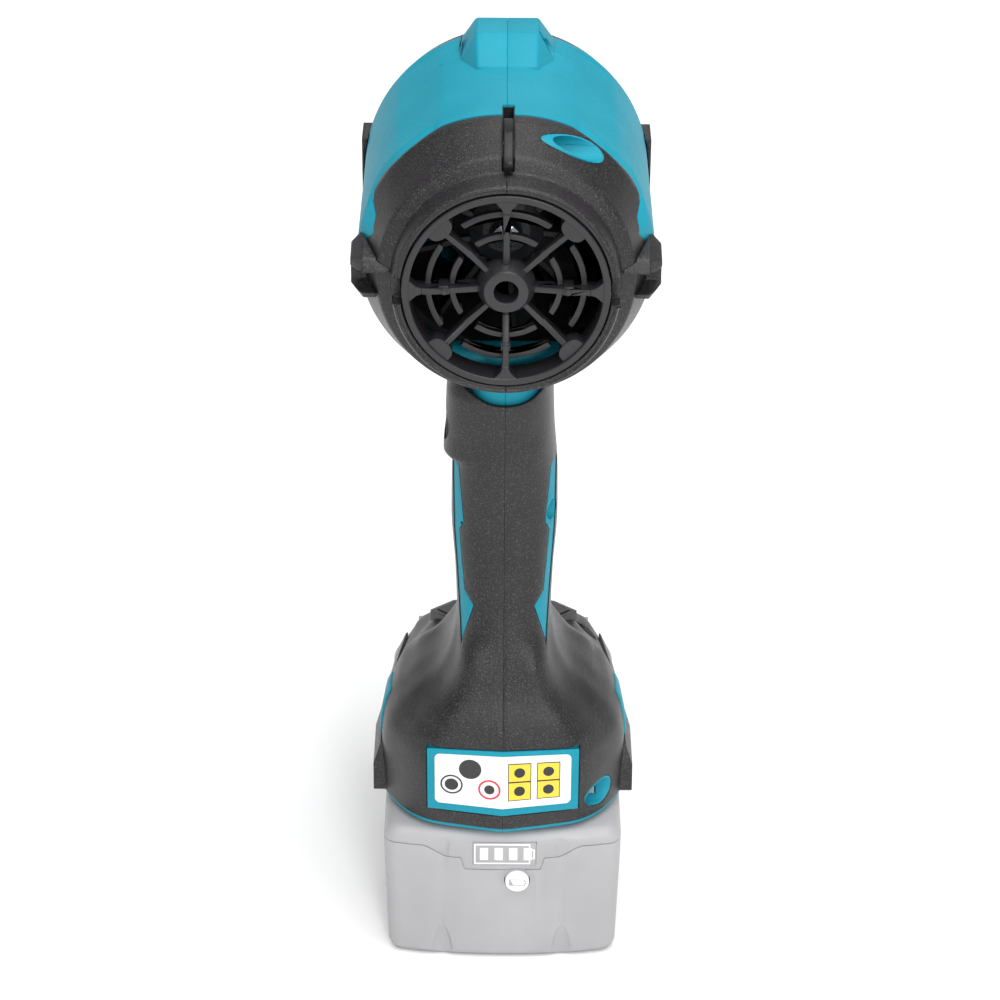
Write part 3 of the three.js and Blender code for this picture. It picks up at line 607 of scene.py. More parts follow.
def grip_body(inset, below=0.0, steps=6):
    """Handle and foot as one flowing solid, moved inwards by inset."""
    waist_y = -18.0
    stations = []
    for z, rear, *sizes in FOOT:
        outline = foot_outline(z, rear, *sizes, inset)
        middle = max(-20.0, (rear + sizes[-1]) / 2)
        stations.append((z, rounded_ring(at_equal_angles(outline, middle))))
    if below:
        stations.insert(0, (BASE_Z - below, stations[0][1]))
    for z, rear, front, half in reversed(HANDLE):
        outline = handle_outline(rear, front, half, inset)
        stations.append((z, at_equal_angles(outline, waist_y)))
    return loft(eased(stations, steps))


# ---- head ----
# Where the teal barrel gives way to the black cowl: angle from the top, and y.
COWL_EDGE = [
    (0, -32.8), (26, -31.0), (28, -31.2), (37, -32.9), (47, -33.3), (57, -31.9), (60.5, -32.6),
    (63, -34.8), (65.5, -36.6), (67, -40.6), (70, -41.6), (72, -41.9), (74, -43.4), (76, -42.6),
    (79, -40.2), (83, -37), (92, -34.6), (180, -34.3),
]


def cone_radius(y):
    """Outside of the cowl's slope."""
    return min(BARREL_R - 0.35, 43.2 + (y + 34.6) * (6.0 / 15.6))


def degrees_from_top(angle):
    turn = math.degrees(angle)
    return 360 - turn if turn > 180 else turn


def barrel_facets(turn, y, edge):
    """How far the barrel's outside is from a plain cylinder, at an angle from the top."""
    rise = 0.0
    if 27 < turn < 48:
        chord = BARREL_R * (1 - math.cos(math.radians(10.5)) / math.cos(math.radians(turn - 37.5)))
        rise -= chord * smoothstep(y, edge + 5.5, edge + 7) * 0.95
    band = smoothstep(turn, 47.5, 48.4) * (1 - smoothstep(turn, 54, 54.9))
    rise += 0.45 * band * smoothstep(y, -24.5, -23.5) * (1 - smoothstep(y, 17.5, 18.5))
    if turn > 27:
        rise -= 0.9 * (1 - smoothstep(y, edge, edge + 5)) * smoothstep(turn, 27, 29)
    return rise


def barrel_profile(angle):
    turn = degrees_from_top(angle)
    edge = along(COWL_EDGE, turn)
    inner = cone_radius(edge) - 2.2

    def outer(y):
        surface = BARREL_R if y > COWL_FRONT_Y else cone_radius(y) + 0.6
        return min(BARREL_R, surface + barrel_facets(turn, y, edge))

    profile = [(0, -49.5), (35.2, -49.5), (inner, edge + 0.05), (outer(edge) - 0.3, edge)]
    profile.append((outer(edge + 0.3), edge + 0.3))
    rows, front = 48, 31.0
    for i in range(rows + 1):
        y = edge + 0.9 + (front - 0.9 - edge) * i / rows
        profile.append((outer(y), y))
    profile += [(43.2, 32.6), (42.7, 34.8), (42.4, BARREL_FRONT_Y - 0.5), (42.0, BARREL_FRONT_Y - 0.1)]
    profile += [(40.3, BARREL_FRONT_Y), (39.8, 40), (39.4, 42), (38.8, 43.4), (37.5, NOSE_Y)]
    return profile + [(0, NOSE_Y)]


def barrel_inside():
    return turned([
        (0, -52), (33.2, -52), (33.2, -49.5), (38.4, -35), (BARREL_R - WALL - 0.6, -31),
        (BARREL_R - WALL, -28), (BARREL_R - WALL, 24), (38.8, 27), (38.3, 39),
        (35, NOSE_Y + 2), (0, NOSE_Y + 2),
    ])


def rise_ring(y, top, half, foot, foot_z):
    left = [(-foot, y, AXIS_Z + 34), (-foot, y, foot_z), (-half, y, top)]
    return left + [(-x, y, z) for x, y, z in reversed(left)]


def barrel_rise():
    """The flat-topped rise at the front of the barrel's crest, with its side notch."""
    crest = AXIS_Z + BARREL_R
    block = loft([
        rise_ring(2.7, crest, 8.8, 9.2, crest - 1),
        rise_ring(14, 287.5, 9.2, 14, crest - 2.4),
        rise_ring(26, 287.5, 9.4, 14.6, crest - 2.6),
        rise_ring(30, 286, 9.4, 14.6, crest - 2.6),
        rise_ring(BARREL_FRONT_Y - 0.3, 283.1, 9, 14.2, crest - 3.6),
    ])
    outline = [(8.9, 286.6), (10.8, 287.6), (15.4, 279.6), (13.2, 279.4)]
    return cut(rounded(block, 0.7), plate_y(outline, 14.6, 17.6))


# Each screw that has a hole from the side, and where its head rests along X.
SCREWS = [
    ("hook_pivot_screw", 10), ("housing_screw_rise", 5), ("housing_screw_neck", 7),
    ("housing_screw_grip", 9.5), ("housing_screw_front", 8), ("housing_screw_heel", 20),
    ("housing_screw_toe", 12),
]


def screw_holes(screws):
    holes = []
    for name, head in screws:
        _, y, z = centre(name)
        tip = corners(name)[0].x
        holes.append(rod("x", HEAD_R + 0.4, head - GAP, head + 60, y, z))
        holes.append(rod("x", 1.9, tip - 1, head, y, z, 24))
    return holes


def hook_box(half, y0, y1, z0, z1):
    """A box centred on the folded hook across the tool."""
    return box(HOOK_X - half, HOOK_X + half, y0, y1, z0, z1)


def hook_slot():
    return hook_box(SLOT_HALF, -50.5, -26, PIVOT_Z - 9, AXIS_Z + 60)


def trigger_opening():
    return box(-9.7, 9.7, -14, 25, 166.5, 193.6)


def lock_opening():
    return rod("x", 5.4, -30, -6, LOCK_Y, LOCK_Z)


def rail_bay():
    """Room under the foot for the terminals and the battery's rails."""
    return [
        box(-22, 22, -44.5, -21, 64, 67), box(-29.3, 29.3, -46.7, 70, 55.3, 65.2),
        box(-24.9, 24.9, -46.7, 70, BASE_Z - 5, 56.3),
    ]


# The accent window in the grip's rear corner, seen from behind: inner edge down, outer up.
ACCENT = [
    (13.9, 166.2), (12.3, 147.7), (13.6, 144), (12, 124.5), (9.2, 121), (13.2, 107),
    (14.1, 121.8), (15.5, 143.5), (15.9, 165.5),
]


def accent_blocks(inset=0.0):
    """The accent windows as blocks on both sides of the grip, made smaller by inset."""
    shortening = {0: -2 * inset, 5: 3 * inset, 8: -2 * inset}
    outline = []
    for i, (x, z) in enumerate(ACCENT):
        outward = 1 if i < 5 else -1
        outline.append((x + outward * inset * 0.5, z + shortening.get(i, 0)))
    return [plate_y([(side * x, z) for x, z in outline], -50, -22) for side in (-1, 1)]


def label_flats(outside, depth, grow):
    """Two flats that meet in a crease at the middle of the back."""
    low, high, steps = 56.4 - grow, 78.9 + grow, 12

    def flat(side):
        rings = []
        for k in range(steps + 1):
            z = low + (high - low) * k / steps
            half = side * (LABEL_HALF + grow)
            back, edge = label_point(0, z) - outside, label_point(half, z) - outside
            rings.append([(0, back, z), (half, edge, z), (half, edge + depth, z), (0, back + depth, z)])
        return loft(rings)

    return joined(flat(-1), flat(1))


# The control panel's own frame: on top of the foot, leaning forwards.
PANEL_MATRIX = Matrix.Translation((0, 21.5, 82)) @ Matrix.Rotation(-0.27, 4, "X")


def panel_shape(grow, low, high):
    """The panel's six-sided outline as a block, wider by about grow."""
    scale = 1 + grow / 16
    outline = [(-21.5, 0), (-15, 10.5), (15, 10.5), (21.5, 0), (15, -10.5), (-15, -10.5)]
    rings = [[(x * scale, y * scale, z) for x, y in outline] for z in (low, high)]
    return moved(loft(rings), PANEL_MATRIX)


def panel_rod(radius, low, high):
    rings = [[(x, y, z) for x, y in circle(0, 0, radius)] for z in (low, high)]
    return moved(loft(rings), PANEL_MATRIX)


def hook_mouth(radius, low):
    """Along the mouth of the hook screw's hole, from x = low outwards."""
    return rod("x", radius, low, 60, PIVOT_Y, MOUTH_Z)


def heel_mouth(radius, low):
    """Along the mouth of the heel screw's hole, from x = low outwards."""
    return rod("x", radius, low, 60, HEEL_Y + 1.4, HEEL_Z + 0.6)


def raised_mouths(hook_low):
    """The teal tubes that line both mouths, about level with the black skin round them."""
    hook_tube = rod("x", 4.1, hook_low, 50, PIVOT_Y, MOUTH_Z)
    return common(hook_tube, cowl_outside(0.3)), common(heel_mouth(4.7, 18), grip_body(0.1))


def housing():
    """Barrel, rise, handle core and foot shell as one hollow moulding."""
    inset = SKIN + GAP
    barrel = revolve(barrel_profile, 288)
    outside = joined(barrel, barrel_rise(), grip_body(inset))
    lip = common(grip_body(0.35, 3), box(-FAR, FAR, -FAR, -36, BASE_Z, BASE_Z + 1.0))
    accents = [common(grip_body(0.3), block) for block in accent_blocks(0.3)]
    outside = joined(outside, lip, *accents, *raised_mouths(9))
    hollow = joined(
        barrel_inside(),
        common(grip_body(inset + 2.2), box(-FAR, FAR, -FAR, FAR, 66, FAR)),
        box(-7, 7, 12, 28, AXIS_Z + 36, 284),
    )
    posts = [rod("x", HEAD_R + 2, -40, 40, *centre(name)[1:]) for name, _ in SCREWS]
    pocket = hook_box(3.6, -49.4, -24, PIVOT_Z - 11, AXIS_Z + 37)
    inner = common(joined(*posts, pocket), copy_of(outside))
    body = joined(cut(outside, hollow), inner, *raised_mouths(7))
    body = cut(body, hook_mouth(3.6, 9.7), heel_mouth(4.1, 24))
    body = cut(body, hook_slot(), *rail_bay(), trigger_opening(), lock_opening())
    body = cut(body, label_flats(1, 3.3, 0.4), panel_shape(0.4, -1.6, 9), panel_rod(6, -8, 2))
    return cut(body, *screw_holes(SCREWS))


def skirt(side):
    """The raised flank along the foot, widest at the back."""
    def flank(z, back, lean):
        outer = [(41.2, back), (41.2, -14), (40.4 - lean, 2), (38.6 - lean * 1.3, 22), (36.5 - lean, 34)]
        return [(side * x, y, z) for x, y in [(33, back), *outer, (33, 34)]]

    top = [(33, -33), (39, -33), (39, -14), (37.5, 2), (34.5, 22), (32.6, 34), (32, 34)]
    top_ring = [(side * x, y, 65.5) for x, y in top]
    return rounded(loft([flank(BASE_Z + 1.2, -38, 0), flank(60, -36.5, 1.4), top_ring]), 0.8)


def lock_guard():
    """The grip's left side, swollen round the lock-on button."""
    stations = sorted(HANDLE)
    rings = []
    for k in range(33):
        z = 165 + 37 * k / 32
        rise = smoothstep(z, 165, 170) * (1 - smoothstep(z, 190, 202))
        rear, half = (along([(row[0], row[i]) for row in stations], z) for i in (1, 3))
        outline = handle_outline(rear + 0.5 + 2.5 * (1 - rise), -11, half - 1.2, 0)
        rings.append([(x * (1 + 0.31 * rise if x < 0 else 0.85), y, z) for x, y in outline])
    return loft(rings)


def skin_top():
    """What lies above the overmould's upper edge, which curves up towards the sides."""
    steps, reach = 24, 19
    edge = []
    for k in range(steps + 1):
        x = -reach + 2 * reach * k / steps
        edge.append((x, GRIP_TOP_Z - 0.4 + 5.5 * (abs(x) / 12.9) ** 2.2))
    return plate_y([(-30, 230), (-30, edge[0][1]), *edge, (30, edge[-1][1]), (30, 230)], -70, 30)


def grip_skin():
    """The soft black skin over the handle and foot, open round the teal accents."""
    skin = joined(grip_body(0), skirt(1), skirt(-1), lock_guard(), panel_shape(2, -7, 0.1))
    skin = cut(skin, grip_body(SKIN, 4))
    skin = cut(skin, box(-FAR, FAR, -FAR, FAR, -FAR, BASE_Z + 1.2), skin_top())
    skin = cut(skin, cowl_outside(0.25), revolve(barrel_profile, 288))
    skin = cut(skin, trigger_opening(), lock_opening(), *rail_bay())
    skin = cut(skin, label_flats(6, 12, 0.4), panel_shape(0.4, -4, 9))
    skin = cut(skin, *accent_blocks(), heel_mouth(4.85, 18))
    return cut(skin, *screw_holes(SCREWS[3:]))


def cowl_profile(grow):
    """The cowl's outside from its rear lip to its step, as [radius, y]."""
    lip = [(31.2, INLET_Y + 0.5), (31.7, INLET_Y), (32.3, INLET_Y + 0.3), (32.7, INLET_Y + 1.2)]
    waist = [(33, -52.2), (33.3, -51.5), (34, -51.2), (36.6, -50.5), (37.2, -50.1)]
    return [(r + grow, y) for r, y in lip + waist]


def cowl_outside(grow):
    """A solid over the whole cowl, larger by grow all round, used to clear its neighbours."""
    outline = [(0, INLET_Y - 2)] + cowl_profile(grow) + [(43.2 + grow, -34.6), (0, -34.6)]
    return turned(outline)


def rear_cowl():
    """The soft black cone and collar round the inlet, clear of the handle."""
    def profile(angle):
        edge = along(COWL_EDGE, degrees_from_top(angle)) - 0.3
        outside = cowl_profile(0)
        for k in range(1, 13):
            y = CONE_REAR_Y + (edge - 0.25 - CONE_REAR_Y) * k / 12
            outside.append((cone_radius(y), y))
        outside += [(cone_radius(edge) - 0.3, edge), (cone_radius(edge) - 1.5, edge)]
        inside = [(35.95, -49.9), (30.2, -49.9), (30.2, INLET_Y + 0.6), (30.5, INLET_Y + 0.3)]
        return outside + inside

    cowl = revolve(profile, 288)
    cowl = cut(cowl, hook_slot(), hook_box(SLOT_HALF, -51.8, -50, AXIS_Z + 33.4, AXIS_Z + 60))
    slots = []
    for side, _ in SIDES:
        near, far = sorted((28 * side, 33.2 * side))
        slots.append(box(near, far, INLET_Y - 1, INLET_Y + 5.5, AXIS_Z - 4.2, AXIS_Z + 4.2))
    cowl = cut(cowl, *slots, hook_mouth(4.25, 5))
    return cut(cowl, grip_body(SKIN - 0.1))


def side_pad(side):
    """A rubber ear on the cowl: two lips with a dark channel between them."""
    outline = fillet([
        (-52, 235), (-49, 230.5), (-38, 226), (-29, 230), (-28, 243), (-36, 246.5), (-50, 243.5), (-52, 240),
    ], 0.7, 3)
    channel_outline = [
        (-56, 239.6), (-44.5, 239.6), (-43, 237.5), (-43, 234), (-47, 232.4), (-56, 232.4),
    ]
    clear_r = BARREL_R + 0.35

    def ring(x, scale):
        return [(side * x, -40 + (y + 40) * scale, 238 + (z - 238) * scale) for y, z in outline]

    block = loft([ring(30, 1), ring(41.2, 1), ring(44.9, 0.58)])
    barrel = [(43.6, -34.5), (clear_r, -33.5), (clear_r, 0), (0, 0)]
    near, far = sorted((side * 33, side * 50))
    channel = plate_x(channel_outline, near, far)
    return cut(block, turned([(0, INLET_Y)] + cowl_profile(0.35) + barrel), channel)


def spoke(angle, half, r0, r1, y0, y1, inner_y0=None):
    """A straight bar out from the axis; inner_y0 lets its rear face fall away inwards."""
    inner = y0 if inner_y0 is None else inner_y0
    rings = []
    for r, y in ((r0, inner), (r1, y0)):
        rings.append([(r, y, -half), (r, y, half), (r, y1, half), (r, y1, -half)])
    return on_axis(loft(rings), angle)


def on_axis(obj, angle):
    return moved(obj, Matrix.Translation((0, 0, AXIS_Z)) @ Matrix.Rotation(angle, 4, "Y"))


def arc_bar(radius, half, aim, reach, y0, y1):
    """A rib along an arc that reaches equally far to both sides of the angle aim."""
    steps = 16
    outline = []
    for sign in (1, -1):
        for k in range(steps + 1):
            t = aim + sign * reach * (2 * k / steps - 1)
            r = radius + sign * half
            outline.append((r * math.cos(t), AXIS_Z + r * math.sin(t)))
    return plate_y(outline, y0, y1)


def gusset(angle):
    outline = [(24.0, -0.9), (25.6, -1.4), (28.4, -4.0), (28.4, 4.0), (25.6, 1.4), (24.0, 0.9)]
    return on_axis(plate_y(outline, INLET_Y + 0.2, INLET_Y + 4.2), angle)


def ring_pad(angle):
    """The rounded pad where a slanting spoke meets the ring."""
    points = 20
    outline = [(28.6, -4.2)] + [
        (26.4 - 2.6 * math.cos(math.pi * (k / points - 0.5)), 3.9 * math.sin(math.pi * (k / points - 0.5)))
        for k in range(points + 1)
    ] + [(28.6, 4.2)]
    return on_axis(plate_y(outline, INLET_Y + 1.0, INLET_Y + 6.2), angle)


def inlet_grille():
    """Ring, hub, eight spokes and two broken rings of ribs."""
    rear = INLET_Y
    ring = [(27.7, rear), (GRILLE_R, rear), (GRILLE_R, rear + 9), (27.7, rear + 9)]
    hub = [(3.5, rear), (6.3, rear), (8.5, rear + 4.6), (8.5, rear + 6.5), (3.5, rear + 6.5)]
    parts = [turned(fillet(ring, 0.5)), turned(fillet(hub, 0.4))]
    for i in range(8):
        angle = i * math.pi / 4 + 0.003
        parts.append(spoke(angle, 0.8, 7, 28.4, rear + 2.8, rear + 6.4))
        if i % 2 == 0:
            parts.append(spoke(angle, 0.95, 16.2, 26.4, rear + 0.3, rear + 3.2))
            parts.append(spoke(angle, 0.9, 8, 16.6, rear + 0.8, rear + 3.2, rear + 2.2))
            parts.append(spoke(angle, 1.35, 16.4, 19.2, rear + 1.1, rear + 6.3))
            parts.append(on_axis(rod("y", 0.9, rear, rear + 1.6, 17.6, 0, 20), angle))
            parts.append(gusset(angle))
        else:
            parts.append(spoke(angle, 0.85, 14.5, 25.5, rear + 1.0, rear + 3.2, rear + 3.0))
            parts.append(ring_pad(angle))
    for i in range(4):
        for radius in (15.5, 22.4):
            parts.append(arc_bar(radius, 0.75, i * math.pi / 2, 0.6, rear + 4.2, rear + 6.4))
    return joined(*parts)


def hanging_hook():
    """The folded hook: a flat claw with a round eye for its pivot."""
    outline = [
        (-34.6, 40.4), (-35.2, 42.6), (-37, 43.9), (-44, 42.9), (-52.4, 38.7), (-54, 36.6), (-53.2, 34),
        (-51.6, 34), (-50.4, 35.4), (-48.4, 37.2), (-45.6, 37.6), (-44.4, 35.6), (-44, 33.2),
        (-42, 31.2), (-39.5, 30.5), (-37, 31.2), (-35, 33.2), (-34.2, 36),
    ]
    plate = plate_x([(y, z + AXIS_Z) for y, z in fillet(outline, 1.2, 3)], HOOK_LOW.x, HOOK_HIGH.x)
    return cut(plate, rod("x", 1.9, -5, 5, PIVOT_Y, PIVOT_Z))


def slot_painted_shade():
    """Thin black sheets on the walls of the folded hook's slot: painted shade for the inside of the narrow
    slot.
    """
    outer = hook_box(SLOT_HALF - 0.01, -49.2, -26.05, PIVOT_Z - 8.9, AXIS_Z + 42.6)
    inner = hook_box(1.5, -60, -26.4, PIVOT_Z - 8.4, AXIS_Z + 60)
    barrel = turned([(0, -34.7), (43.0, -34.7), (43.0, -20), (0, -20)])
    return common(cut(outer, inner), joined(cowl_outside(-0.4), barrel))


def front_bumper():
    """The rubber rim at the barrel's front, with a hump over the rise and two side pads."""
    back = BARREL_FRONT_Y + GAP
    ring = turned(fillet([(39.9, back), (42.2, back), (41.4, 39.5), (40.9, 41.4), (39.9, 41.4)], 0.5))
    hump = loft([
        rise_ring(back, 282.8, 8.9, 14, AXIS_Z + 39.6), rise_ring(41.5, 279.4, 8, 13, AXIS_Z + 38.4),
    ])
    pads = []
    for side, _ in SIDES:
        near, far = sorted((side * 36, side * 44.4))
        pads.append(box(near, far, 27.2, 40, AXIS_Z - 8, AXIS_Z + 10))
    core = turned([
        (0, 20), (BARREL_R + GAP, 20), (BARREL_R + GAP, 31), (42.7, BARREL_FRONT_Y - 0.2),
        (40.6, BARREL_FRONT_Y + 0.1), (40.1, 40.2), (39, 44), (0, 44),
    ])
    return cut(joined(ring, hump, *pads), core)


def nose_cone():
    front = NOSE_Y + GAP
    outline = [
        (32.4, 40), (34.6, 40), (34.6, front), (37.4, front + 0.1), (31.5, 60), (22.5, 80), (17, 88),
        (13, 88.2), (13, 95), (11, 95), (11, 88), (20.2, 80), (29.2, 60), (33, 45),
    ]
    return turned(fillet(outline, 0.9))


def nozzle():
    tip = NOZZLE_TIP_Y
    outline = [
        (15, 88.8), (17.2, 88.8), (17.2, 96), (13.5, 104), (9, 112), (7, tip), (4.5, tip),
        (6.2, 112), (11, 104), (13.4, 97.5), (13.4, 95.6), (15, 95.4),
    ]
    body = turned(fillet(outline, 0.8))
    ribs = [spoke(k * math.pi / 6, 0.5, 16.6, 17.15, 90.5, 95.5) for k in range(12)]
    return joined(body, *ribs)


# ---- battery ----
def battery_ring(z, half, back, front, inset=0.0):
    """A rounded rectangle in plan with a slightly curved back."""
    corner, bow, steps = 5.0, 3.2, 6
    reach = half - inset - corner
    near, far = back + inset + bow - 0.6, front - inset - corner
    right = []
    for k in range(1, 9):
        share = k / 9
        right.append((reach * share, back + inset + bow * (share * 0.86) ** 2, z))
    turns = [math.pi / 2 * k / steps for k in range(steps + 1)]
    for t in turns:
        right.append((reach + corner * math.sin(t), near + corner * (1 - math.cos(t)), z))
    for t in turns:
        right.append((reach + corner * math.cos(t), far + corner * math.sin(t), z))
    return [(0, back + inset, z)] + right + [(-x, y, z) for x, y, z in reversed(right)]


def seam_line(lift):
    """The joint between case and cover across the back, dipping round the gauge."""
    points = [
        (0, 34.6), (12.0, 34.6), (13.2, 38.9), (18.5, 39.2), (22.5, 41.9), (25, CASE_TOP_Z), (60, CASE_TOP_Z),
    ]
    right = [(x, z + lift) for x, z in points]
    return [(-x, z) for x, z in reversed(right[1:])] + right


def below_seam(lift):
    line = seam_line(lift)
    rear = plate_y([(60, -50), (-60, -50)] + line, BACK - 10, BACK + 8)
    return joined(rear, box(-FAR, FAR, BACK + 7.9, FAR, -50, CASE_TOP_Z + lift))


def above_seam(lift):
    line = list(reversed(seam_line(lift)))
    rear = plate_y([(-60, 100), (60, 100)] + line, BACK - 10, BACK + 8)
    return joined(rear, box(-FAR, FAR, BACK + 7.9, FAR, CASE_TOP_Z + lift, 200))


def flute(x, y, squash, levels):
    """A flute in the battery's back: levels are [z, radius], squash its depth's share."""
    return loft([[(u, v, z) for u, v in circle(x, y, radius, 24, squash)] for z, radius in levels])


def battery_outside():
    """Case and cover as one shape, with its shoulder, flutes and the key's shallow bowl."""
    half, top = BATTERY_HALF, COVER_TOP_Z
    levels = [
        (0, half - 3.4, BACK + 2.6, FRONT - 2), (0.5, half - 2.3, BACK + 1.6, FRONT - 1.2),
        (1.4, half - 1.5, BACK + 0.9, FRONT - 0.6), (3, half - 1.1, BACK + 0.5, FRONT - 0.3),
        (CASE_TOP_Z - 6, half - 0.1, BACK + 0.05, FRONT), (CASE_TOP_Z + 1, half, BACK, FRONT),
        (top - 2.6, half - 0.5, BACK + 0.4, FRONT), (top - 1.2, half - 1.3, BACK + 1.2, FRONT),
        (top - 0.4, half - 2.4, BACK + 2.2, FRONT), (top, half - 3.8, BACK + 3.4, FRONT),
    ]
    body = loft([battery_ring(*level) for level in levels])
    flutes = []
    for side, _ in SIDES:
        low = ((-1, 3.6), (4, 3.3), (8, 2.5), (11, 1.5), (13.5, 0.3))
        high = ((34, 0.4), (37, 2.0), (44, 2.7), (50, 3.4))
        flutes.append(flute(side * 19.2, BACK + 0.9, 0.55, low))
        flutes.append(flute(side * 19.2, BACK + 0.3, 0.4, high))
    bowl = dish(CHECK_X, CHECK_Z - 0.9, ((BACK - 1, 7.2), (BACK + 0.1, 6.4), (BACK + 0.75, 5.2)))
    return cut(body, *flutes, bowl)


def gauge_recess(grow, y0, y1):
    return box(GAUGE_LOW.x - grow, GAUGE_HIGH.x + grow, y0, y1, GAUGE_LOW.z - grow, GAUGE_HIGH.z + grow)


def battery_case():
    inside = loft([
        battery_ring(2.4, BATTERY_HALF - 1.1, BACK, FRONT, 2.4),
        battery_ring(CASE_TOP_Z + 6, BATTERY_HALF, BACK, FRONT, 2.4),
    ])
    case = common(battery_outside(), below_seam(0))
    case = cut(case, inside, gauge_recess(0.3, BACK - 5, BACK + 1.4))
    return cut(case, rod("y", 4.1, BACK - 5, BACK + 6, CHECK_X, CHECK_Z))


def battery_cover():
    """The pack's lid with its rails, terminal well and release button's bay."""
    lid = common(battery_outside(), above_seam(0.22))
    inside = [battery_ring(z, BATTERY_HALF, BACK, FRONT, 2.4) for z in (20, CASE_TOP_Z + 0.4)]
    lid = cut(lid, loft(inside))
    neck = box(-24.4, 24.4, -46.2, 47, COVER_TOP_Z - 1, 56.1)
    head = box(-28.8, 28.8, -46.2, 47, 55.7, RAIL_TOP_Z)
    prow = loft([
        [(x, max(y, 46.6), z) for x, y, z in battery_ring(level, half, 43.4, front)]
        for level, half, front in ((COVER_TOP_Z - 1, 30, FRONT), (57, 27, FRONT - 0.8), (60, 25, FRONT - 2.6))
    ])
    cover = joined(lid, neck, head, prow)
    cover = cut(cover, box(-21, 21, -42, 42, 41, 60), box(-11.6, 11.6, 49.4, 70, 46.4, 80))
    for side, _ in SIDES:
        cover = cut(cover, box(side * 15 - 1.6, side * 15 + 1.6, -60, -24.5, 57.2, 80))
    return cut(cover, gauge_recess(0.3, BACK - 5, BACK + 1.4))


def battery_symbol(low_x, high_x, low_z, high_z, stroke, y0, y1):
    """The outline of a battery with its small terminal, drawn as a raised line."""
    tip = (high_x - low_x) * 0.075
    body = high_x - tip
    middle, knob = (low_z + high_z) / 2, (high_z - low_z) * 0.24

    def outline(s):
        return [
            (low_x + s, low_z + s), (body - s, low_z + s), (body - s, middle - knob + s),
            (high_x - s, middle - knob + s), (high_x - s, middle + knob - s),
            (body - s, middle + knob - s), (body - s, high_z - s), (low_x + s, high_z - s),
        ]

    return cut(plate_y(outline(0), y0, y1), plate_y(outline(stroke), y0 - 1, y1 + 1))


def build_battery():
    piece(battery_case(), "case_shell", "pale", "battery", ["battery_case"], 0.18)
    piece(battery_cover(), "cover_shell", "pale", "battery", ["battery_cover"], 0.18)
    front, fit = BACK + 0.14, 0.26
    left, right = GAUGE_LOW.x, GAUGE_HIGH.x
    low, high = GAUGE_LOW.z, GAUGE_HIGH.z
    window = box(left - fit, right + fit, front, GAUGE_HIGH.y, low - fit, high + fit)
    piece(window, "gauge_panel", "pale", "battery", ["gauge_window"], 0.1)
    symbol = battery_symbol(left + 0.1, right - 0.1, low + 0.2, high - 0.2, 0.42, front - 0.12, front + 0.2)
    piece(symbol, "gauge_outline", "white", "battery", width=0)
    for k in range(4):
        x = left + 1.9 + k * 4.6
        bar = box(x, x + 2.6, front - 0.08, front + 0.2, low + 1.7, high - 1.7)
        piece(bar, f"gauge_bar_{k + 1}", "lens", "battery", width=0.05)


def build_check_button():
    """The round check key with a small battery sign on its face."""
    face = CHECK_LOW.y
    inner, outer = face - 0.03, face + 0.3
    width, tall = (CHECK_X - 2.6, CHECK_X + 2.9), (CHECK_Z - 1.2, CHECK_Z + 1.2)
    sign = battery_symbol(*width, *tall, 0.28, inner, outer)
    corners_of_wedge = ((-2.3, -0.9), (-1.2, -0.9), (-2.1, 0.9), (-2.3, 0.9))
    wedge = plate_y([(CHECK_X + x, CHECK_Z + z) for x, z in corners_of_wedge], inner, outer)
    key = dish(CHECK_X, CHECK_Z, ((face, 3.2), (face + 0.12, 3.55), (face + 0.5, 3.8), (CHECK_HIGH.y, 3.8)))
    piece(key, "check_key", "white", "check", ["check_button"], 0)
    piece(joined(sign, wedge), "check_key_sign", "pale", "check", width=0)


# ---- label ----
def label_point(x, z):
    """The y of the label's face at x across and z up."""
    back = -59.9 + 1.9 * (z - LABEL_LOW_Z) / LABEL_TALL
    return back + crease_depth(z) * abs(x) / LABEL_HALF


def on_label(outline, y_in, y_out):
    """A flat shape on the label: [x, z] points, drawn from y_in to y_out off its face."""
    return loft([[(x, label_point(x, z) - off, z) for x, z in outline] for off in (y_in, y_out)])


def printed(outline):
    """A shape printed on the film, standing a little above it."""
    return on_label(outline, 0.2, 0.4)


def printed_ring(x, z, outer, inner):
    return cut(printed(circle(x, z, outer)), on_label(circle(x, z, inner), 0, 1))


def rectangle(x, z, width, tall, inset=0.0):
    left, right, low, high = x + inset, x + width - inset, z + inset, z + tall - inset
    return [(left, low), (right, low), (right, high), (left, high)]


def half_film(side):
    """Half of the white film, with its outer corners rounded."""
    low, high, far, corner, steps = 59.2, 77.5, 21.2, 1.6, 24
    face, under = 0.28, -0.3
    rings = []
    for k in range(steps + 1):
        z = low + (high - low) * (1 - math.cos(math.pi * k / steps)) / 2
        inward = max(0.0, corner - min(z - low, high - z))
        reach = side * (far - corner + math.sqrt(max(0.0, corner**2 - inward**2)))
        places = ((0, face), (reach, face), (reach, under), (0, under))
        rings.append([(x, label_point(x, z) - off, z) for x, off in places])
    return loft(rings)


